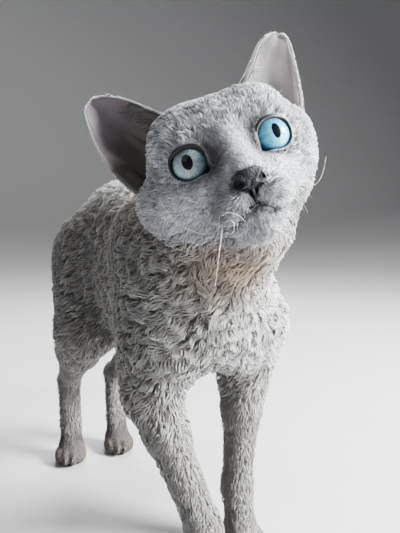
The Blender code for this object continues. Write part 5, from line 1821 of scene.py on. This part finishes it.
class NodeGraph:
    """A new material with its nodes, and short ways to add to them."""

    def __init__(self, name: str) -> None:
        """Starts the material with nothing but its output."""
        self.material = bpy.data.materials.new(name)
        self.material.use_nodes = True
        self.nodes, self.links = self.material.node_tree.nodes, self.material.node_tree.links
        self.nodes.clear()
        self.output = self.nodes.new("ShaderNodeOutputMaterial")
        self.shader = self.nodes.new("ShaderNodeBsdfPrincipled")
        self.links.new(self.shader.outputs[0], self.output.inputs[0])

    def plug(self, socket: Socket, value: object) -> None:
        """Links a socket, or sets it."""
        if isinstance(value, Socket):
            self.links.new(value, socket)
        else:
            socket.default_value = value

    def set(self, **values: object) -> None:
        """Sets the shader's own sockets to values, or links them to sockets."""
        for key, value in values.items():
            self.plug(self.shader.inputs[key.replace("_", " ")], value)

    def marking(self, shade: Socket) -> Socket:
        """The mesh's marking colour times a shade."""
        return self.mix(1.0, self.attribute("marking").outputs["Color"], shade, "MULTIPLY")

    def attribute(self, name: str) -> bpy.types.Node:
        """Reads a named value of the mesh."""
        node = self.nodes.new("ShaderNodeAttribute")
        node.attribute_name = name
        return node

    def object_place(self) -> Socket:
        """The object's own coordinates."""
        return self.nodes.new("ShaderNodeTexCoord").outputs["Object"]

    def noise(self, place: object, scale: float, detail: float = 2.0, rough: float = 0.5) -> object:
        """Noise from 0 to 1."""
        node = self.nodes.new("ShaderNodeTexNoise")
        self.plug(node.inputs["Vector"], place)
        node.inputs["Scale"].default_value = scale
        node.inputs["Detail"].default_value = detail
        node.inputs["Roughness"].default_value = rough
        return node.outputs["Fac"]

    def maths(self, kind: str, a: object, b: object = 0.0) -> Socket:
        """One step of arithmetic."""
        node = self.nodes.new("ShaderNodeMath")
        node.operation = kind
        self.plug(node.inputs[0], a)
        self.plug(node.inputs[1], b)
        return node.outputs[0]

    def scaled(self, place: object, scale: Triple) -> Socket:
        """A place stretched along its axes."""
        node = self.nodes.new("ShaderNodeVectorMath")
        node.operation = "MULTIPLY"
        self.plug(node.inputs[0], place)
        node.inputs[1].default_value = scale
        return node.outputs[0]

    def split(self, place: object) -> list[Socket]:
        """The three parts of a vector."""
        node = self.nodes.new("ShaderNodeSeparateXYZ")
        self.plug(node.inputs[0], place)
        return list(node.outputs)

    def ramp(self, value: object, stops: list[tuple[float, object]]) -> Socket:
        """Colours or greys along a value."""
        node = self.nodes.new("ShaderNodeValToRGB")
        self.plug(node.inputs[0], value)
        ramp = node.color_ramp
        while len(ramp.elements) < len(stops):
            ramp.elements.new(0.5)
        for element, (place, colour) in zip(ramp.elements, stops):
            element.position = place
            element.color = (*colour, 1.0) if isinstance(colour, tuple) else (colour, colour, colour, 1.0)
        return node.outputs[0]

    def mix(self, share: object, a: object, b: object, kind: str = "MIX") -> Socket:
        """Two colours mixed."""
        node = self.nodes.new("ShaderNodeMix")
        node.data_type, node.blend_type = "RGBA", kind
        for number, value in ((0, share), (6, a), (7, b)):
            value = (*value, 1.0) if isinstance(value, tuple) and len(value) == 3 else value
            self.plug(node.inputs[number], value)
        return node.outputs[2]

    def bump(self, height: object, strength: float, distance: float) -> None:
        """Relief from a height, added to what is there already."""
        node = self.nodes.new("ShaderNodeBump")
        node.inputs["Strength"].default_value = strength
        node.inputs["Distance"].default_value = distance
        self.plug(node.inputs["Height"], height)
        self.links.new(node.outputs[0], self.shader.inputs["Normal"])


class Finish(Enum):
    """The finishes of the model."""

    COAT = "coat_hair"
    UNDERCOAT = "undercoat"
    EAR = "ear_leather"
    EYE = "eye_iris"
    WET = "dark_wet_skin"
    NOSE = "nose_leather"
    WHISKER = "whisker_hair"
    HORN = "claw_horn"


@dataclass(frozen=True)
class Finishes:
    """Makes each finish's material."""

    iris_light: Triple = (0.40, 0.61, 0.72)
    iris_mid: Triple = (0.21, 0.40, 0.54)
    iris_edge: Triple = (0.055, 0.12, 0.19)
    pupil: Triple = (0.004, 0.004, 0.006)

    def hair(self) -> bpy.types.Material:
        """Hair: the marking's colour with fine lines along each tuft."""
        graph = NodeGraph(Finish.COAT.value)
        fibre = graph.attribute("fibre").outputs["Vector"]
        lines = graph.noise(graph.scaled(fibre, (5.0, 0.25, 1.0)), 1.6, 2.0, 0.6)
        colour = graph.marking(graph.ramp(lines, [(0.30, 0.78), (0.52, 1.0), (0.78, 1.15)]))
        graph.set(
            Base_Color=colour, Roughness=0.62, Specular_IOR_Level=0.32,
            Sheen_Weight=0.18, Sheen_Roughness=0.45,
            Subsurface_Weight=0.35, Subsurface_Radius=(0.0022, 0.0019, 0.0016), Subsurface_Scale=1.0,
        )
        graph.bump(lines, 0.35, 0.0004)
        return graph.material

    def undercoat(self) -> bpy.types.Material:
        """Skin with close downy hair: the marking's colour, with a hair-scale bump.

        The colour is darkened in fine noise: painted shade under the tufts.
        """
        graph = NodeGraph(Finish.UNDERCOAT.value)
        fine = graph.noise(graph.object_place(), 900.0, 3.0, 0.6)
        colour = graph.marking(graph.ramp(fine, [(0.32, 0.70), (0.55, 0.88), (0.75, 1.0)]))
        graph.set(Base_Color=colour, Roughness=0.8, Specular_IOR_Level=0.2)
        graph.bump(fine, 0.5, 0.0006)
        return graph.material

    def ear(self) -> bpy.types.Material:
        """Ear leather: the marking's colour, mottled, with fine pores and a little light through it."""
        graph = NodeGraph(Finish.EAR.value)
        place = graph.object_place()
        broad, fine = graph.noise(place, 90.0, 3.0), graph.noise(place, 1300.0, 3.0, 0.65)
        graph.set(
            Base_Color=graph.marking(graph.ramp(broad, [(0.3, 0.78), (0.7, 1.15)])),
            Roughness=graph.ramp(fine, [(0.3, 0.5), (0.8, 0.72)]), Specular_IOR_Level=0.3,
            Subsurface_Weight=0.12, Subsurface_Radius=(0.0012, 0.0005, 0.0004),
        )
        graph.bump(fine, 0.3, 0.0004)
        return graph.material

    def eye(
        self, name: str, half_width: float, half_height: float, tilt: float, tint: Triple
    ) -> bpy.types.Material:
        """Iris of blue fibres with a dark edge and an upright oval pupil, under a clear wet coat.

        The eye's gaze vector gives the place: the angle from the gaze sets the ring, and the angle round it
        the fibre. The pupil's edge is where (x / a)^2 + (z / b)^2 = 1. The iris darkens towards its top: a
        painted shadow of the upper lid.

        Args:
            name: The material's name.
            half_width: Half the pupil's width as a share of the eye's radius.
            half_height: Half its height likewise.
            tilt: Turn of the pupil in degrees.
            tint: Multiplied into the iris: painted light and shade, bluer when lit and greyer when shaded.

        Returns:
            The material.
        """
        graph = NodeGraph(name)
        turn = graph.nodes.new("ShaderNodeVectorRotate")
        turn.rotation_type = "Y_AXIS"
        turn.inputs["Angle"].default_value = math.radians(tilt)
        graph.plug(turn.inputs["Vector"], graph.attribute("gaze").outputs["Vector"])
        x, _, z = graph.split(turn.outputs[0])

        def length(a: object, b: object) -> Socket:
            """Root of the sum of two squares."""
            squares = [graph.maths("POWER", graph.maths("ABSOLUTE", side), 2.0) for side in (a, b)]
            return graph.maths("SQRT", graph.maths("ADD", *squares))

        ring = length(x, z)
        oval = length(graph.maths("DIVIDE", x, half_width), graph.maths("DIVIDE", z, half_height))
        angle = graph.maths("ARCTAN2", z, x)
        spot = graph.nodes.new("ShaderNodeCombineXYZ")
        for number, kind in enumerate(("SINE", "COSINE")):
            graph.plug(spot.inputs[number], graph.maths("MULTIPLY", graph.maths(kind, angle), 5.0))
        graph.plug(spot.inputs[2], graph.maths("MULTIPLY", ring, 1.1))
        fibres = graph.noise(spot.outputs[0], 4.2, 4.0, 0.62)
        clouds = graph.noise(spot.outputs[0], 0.9, 2.0)
        base = graph.ramp(ring, [
            (0.0, self.iris_mid), (0.30, self.iris_light), (0.56, self.iris_light), (0.67, self.iris_mid),
            (0.75, self.iris_edge), (0.85, (0.02, 0.03, 0.04)),
        ])
        # Darker towards the top of the iris: painted shadow of the upper lid.
        height = graph.maths("ADD", graph.maths("MULTIPLY", z, 0.5), 0.5)
        for shade in (
            graph.ramp(fibres, [(0.30, 0.55), (0.55, 1.0), (0.78, 1.45)]),
            graph.ramp(clouds, [(0.35, 0.82), (0.65, 1.12)]),
            graph.ramp(height, [(0.5, 1.0), (0.82, 0.34)]), tint,
        ):
            base = graph.mix(1.0, base, shade, "MULTIPLY")
        inside = graph.ramp(graph.maths("MULTIPLY", oval, 0.5), [(0.46, 0.0), (0.53, 1.0)])
        graph.set(
            Base_Color=graph.mix(inside, self.pupil, base), Roughness=0.35, Specular_IOR_Level=0.08,
            Coat_Weight=1.0, Coat_Roughness=0.02, Coat_IOR=1.38,
        )
        return graph.material

    def plain(
        self, finish: Finish, colour: Triple, rough: float, scale: float, relief: float, coat: float = 0.0
    ) -> bpy.types.Material:
        """A small part's finish: one colour broken by noise, with a fine relief."""
        graph = NodeGraph(finish.value)
        fine = graph.noise(graph.object_place(), scale, 4.0, 0.6)
        dark, light = tuple(c * 0.6 for c in colour), tuple(min(c * 1.5, 1.0) for c in colour)
        colour = graph.ramp(fine, [(0.3, dark), (0.72, light)])
        graph.set(Base_Color=colour, Roughness=rough, Coat_Weight=coat, Coat_Roughness=0.15)
        graph.bump(fine, relief, 0.0003)
        return graph.material

    def nose(self) -> bpy.types.Material:
        """Nose leather: the marking's colour in small pebbles, damp."""
        graph = NodeGraph(Finish.NOSE.value)
        cells = graph.nodes.new("ShaderNodeTexVoronoi")
        cells.feature = "SMOOTH_F1"
        cells.inputs["Scale"].default_value = 1500.0
        graph.plug(cells.inputs["Vector"], graph.object_place())
        pebble = graph.ramp(cells.outputs["Distance"], [(0.1, 1.3), (0.65, 0.55)])
        graph.set(Base_Color=graph.marking(pebble), Roughness=0.62, Specular_IOR_Level=0.25)
        graph.bump(pebble, 0.6, 0.0003)
        return graph.material


# Each light's name, azimuth and elevation in degrees, distance and size in metres, and power in watts.
LIGHTS = (
    ("key", 82.0, 35.0, 1.3, 0.45, 88.0), ("fill", -50.0, 42.0, 1.6, 1.2, 4.2),
    ("rim", 185.0, 55.0, 1.5, 0.8, 46.0), ("bounce", 71.0, 4.0, 0.8, 0.5, 8.5),
)


@dataclass(frozen=True)
class Studio:
    """Plain pale floor, soft light and the photograph's camera."""

    place: Triple = (-0.179, -0.339, 0.223)
    heading: float = 34.0
    pitch: float = -5.0
    focal_pixels: float = 500.0
    image: tuple[int, int] = (400, 533)
    floor_colour: Triple = (0.42, 0.42, 0.425)
    world_colour: Triple = (0.090, 0.092, 0.096)
    aim: Triple = (-0.02, -0.08, 0.18)
    sectors: int = 64
    sweep: tuple = (
        (0.5, 0.0), (1.4, 0.0), (1.9, 0.03), (2.4, 0.13), (2.8, 0.32), (3.1, 0.62), (3.3, 1.05),
        (3.4, 1.6), (3.45, 2.4),
    )

    def axes(self) -> tuple[Vector, Vector, Vector]:
        """The camera's right, up and look."""
        h, p = math.radians(self.heading), math.radians(self.pitch)
        look = Vector((math.sin(h) * math.cos(p), math.cos(h) * math.cos(p), math.sin(p)))
        right = look.cross(Vector((0, 0, 1))).normalized()
        return right, right.cross(look), look

    def camera(self, shift: Array) -> None:
        """The camera at the photograph's place and angle."""
        right, up, look = self.axes()
        data = bpy.data.cameras.new("photo_camera")
        data.sensor_width, data.clip_start = 36.0, 0.01
        data.lens = self.focal_pixels / self.image[1] * data.sensor_width
        made = linked("photo_camera", data)
        matrix = Matrix((right, up, -look)).transposed().to_4x4()
        matrix.translation = Vector(self.place) + Vector(shift)
        made.matrix_world = matrix
        bpy.context.scene.camera = made

    def light(
        self, name: str, azimuth: float, elevation: float, away: float, size: float, power: float
    ) -> None:
        """A square soft light round the cat, its azimuth taken from the camera's side towards its right."""
        middle = Vector(self.aim)
        right, _, look = self.axes()
        level = Vector((-look.x, -look.y, 0)).normalized()
        a, e = math.radians(azimuth), math.radians(elevation)
        way = (level * math.cos(a) + right * math.sin(a)) * math.cos(e) + Vector((0, 0, math.sin(e)))
        data = bpy.data.lights.new(name, "AREA")
        data.size, data.energy = size, power
        made = linked(name, data)
        made.location = middle + way * away
        made.rotation_euler = way.to_track_quat("Z", "Y").to_euler()

    def floor(self) -> bpy.types.Object:
        """A wide disc that sweeps up far out: rings of points (r cos t, r sin t, rise), faintly grained."""
        turn = np.linspace(0, 2 * math.pi, self.sectors, endpoint=False)
        ring = np.stack([np.cos(turn), np.sin(turn), np.ones(self.sectors)], axis=1)
        rings = [ring * [radius, radius, rise] for radius, rise in self.sweep]
        points = np.vstack([np.zeros((1, 3))] + rings)
        index = 1 + np.arange(len(self.sweep) * self.sectors).reshape(-1, self.sectors)
        quads = grid_faces(index)[:, ::-1]
        fan = end_fans(index, 0, 0)[: self.sectors, ::-1]
        made = MeshData(points, [quads, fan]).make("floor", np.zeros(3))
        graph = NodeGraph("pale_floor")
        grain = graph.noise(graph.object_place(), 60.0, 4.0)
        light = tuple(c * 1.04 for c in self.floor_colour)
        graph.set(Base_Color=graph.ramp(grain, [(0.3, self.floor_colour), (0.7, light)]), Roughness=0.75)
        made.data.materials.append(graph.material)
        return made

    def world(self) -> None:
        """An even grey sky."""
        world = bpy.data.worlds.new("studio")
        world.use_nodes = True
        sky = world.node_tree.nodes["Background"].inputs
        sky[0].default_value, sky[1].default_value = (*self.world_colour, 1.0), 1.0
        bpy.context.scene.world = world
        bpy.context.scene.view_settings.look = "AgX - Medium High Contrast"


def dress(piece: bpy.types.Object, material: bpy.types.Material, slot: str, *nodes: str) -> None:
    """Gives a piece its material and body, and hides the solids that it stands for."""
    piece.data.materials.clear()
    piece.data.materials.append(material)
    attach(piece, BODY)
    if nodes:
        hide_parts(*nodes)
    log.info("%s: %d faces", piece.name, len(piece.data.polygons))


# Each eye's name, its pupil's half width and height as shares of the eye, the pupil's tilt and its tint,
# which is
# painted light and shade: bright blue for the lit left eye, greyer for the shaded right eye.
EYE_LOOKS = (
    ("eye_left", (0.18, 0.33), 4.0, (0.46, 0.95, 1.12)),
    ("eye_right", (0.225, 0.33), 0.0, (0.84, 0.68, 0.63)),
)
# Each ear's name and side, its swivel in degrees, the depth of its shade, which is painted light and shade on
# its inside, and the depth of its streak.
EAR_LOOKS = (("ear_left", 1, 48.0, 0.40, 1.0), ("ear_right", -1, 6.0, 1.0, 0.35))


def main() -> None:
    """Builds the studio, then the cat from the skin outwards."""
    logging.basicConfig(level=logging.INFO, format="%(message)s")
    shape = CatShape()
    form, markings, finishes = SkinShape(shape), Markings(shape), Finishes()
    cover = CoatMap(form)
    low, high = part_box("eye_left")
    shift = (np.array(low) + np.array(high)) / 2 - form.eyes[1].centre
    log.info("shift %s", np.round(shift * 1000, 3))

    studio = Studio()
    studio.camera(shift)
    studio.world()
    studio.floor()
    for light in LIGHTS:
        studio.light(*light)

    hair, leather = finishes.hair(), finishes.ear()
    skin = Skin(form, markings).build(shift)
    dress(skin, finishes.undercoat(), "coat", *FLESH_NODES)
    for (name, pupil, tilt, tint), seat in zip(EYE_LOOKS, reversed(form.eyes)):
        eye = Eyeball(seat).data().make(name + "_ball", shift)
        dress(eye, finishes.eye(f"{Finish.EYE.value}_{name}", *pupil, tilt, tint), "iris", name)
    wet = finishes.plain(Finish.WET, (0.018, 0.017, 0.019), 0.45, 1400.0, 0.3, 0.15)
    dress(merged([LidRim(eye).data() for eye in form.eyes]).make("lid_rims", shift), wet, "points")
    dress(NosePad(form).data().make("nose_leather", shift), finishes.nose(), "points")
    dress(MouthLine(form).data().make("lips", shift), wet, "points")
    for name, side, *look in EAR_LOOKS:
        ear = Ear(shape, side, *look)
        dress(ear.data().make(name + "_shell", shift), leather, "ear_skin", name)
        dress(EarDown(ear, 40 + side).data().make(name + "_down", shift), hair, "coat")
    white = finishes.plain(Finish.WHISKER, (0.66, 0.64, 0.60), 0.4, 900.0, 0.1)
    dress(Whiskers(form).data().make("whiskers", shift), white, "coat")
    horn = finishes.plain(Finish.HORN, (0.22, 0.19, 0.17), 0.35, 700.0, 0.2)
    dress(Claws(shape).data().make("claws", shift), horn, "points")
    for piece in Coat(form, markings, cover).build(skin, shift):
        dress(piece, hair, "coat")


if __name__ == "__main__":
    main()
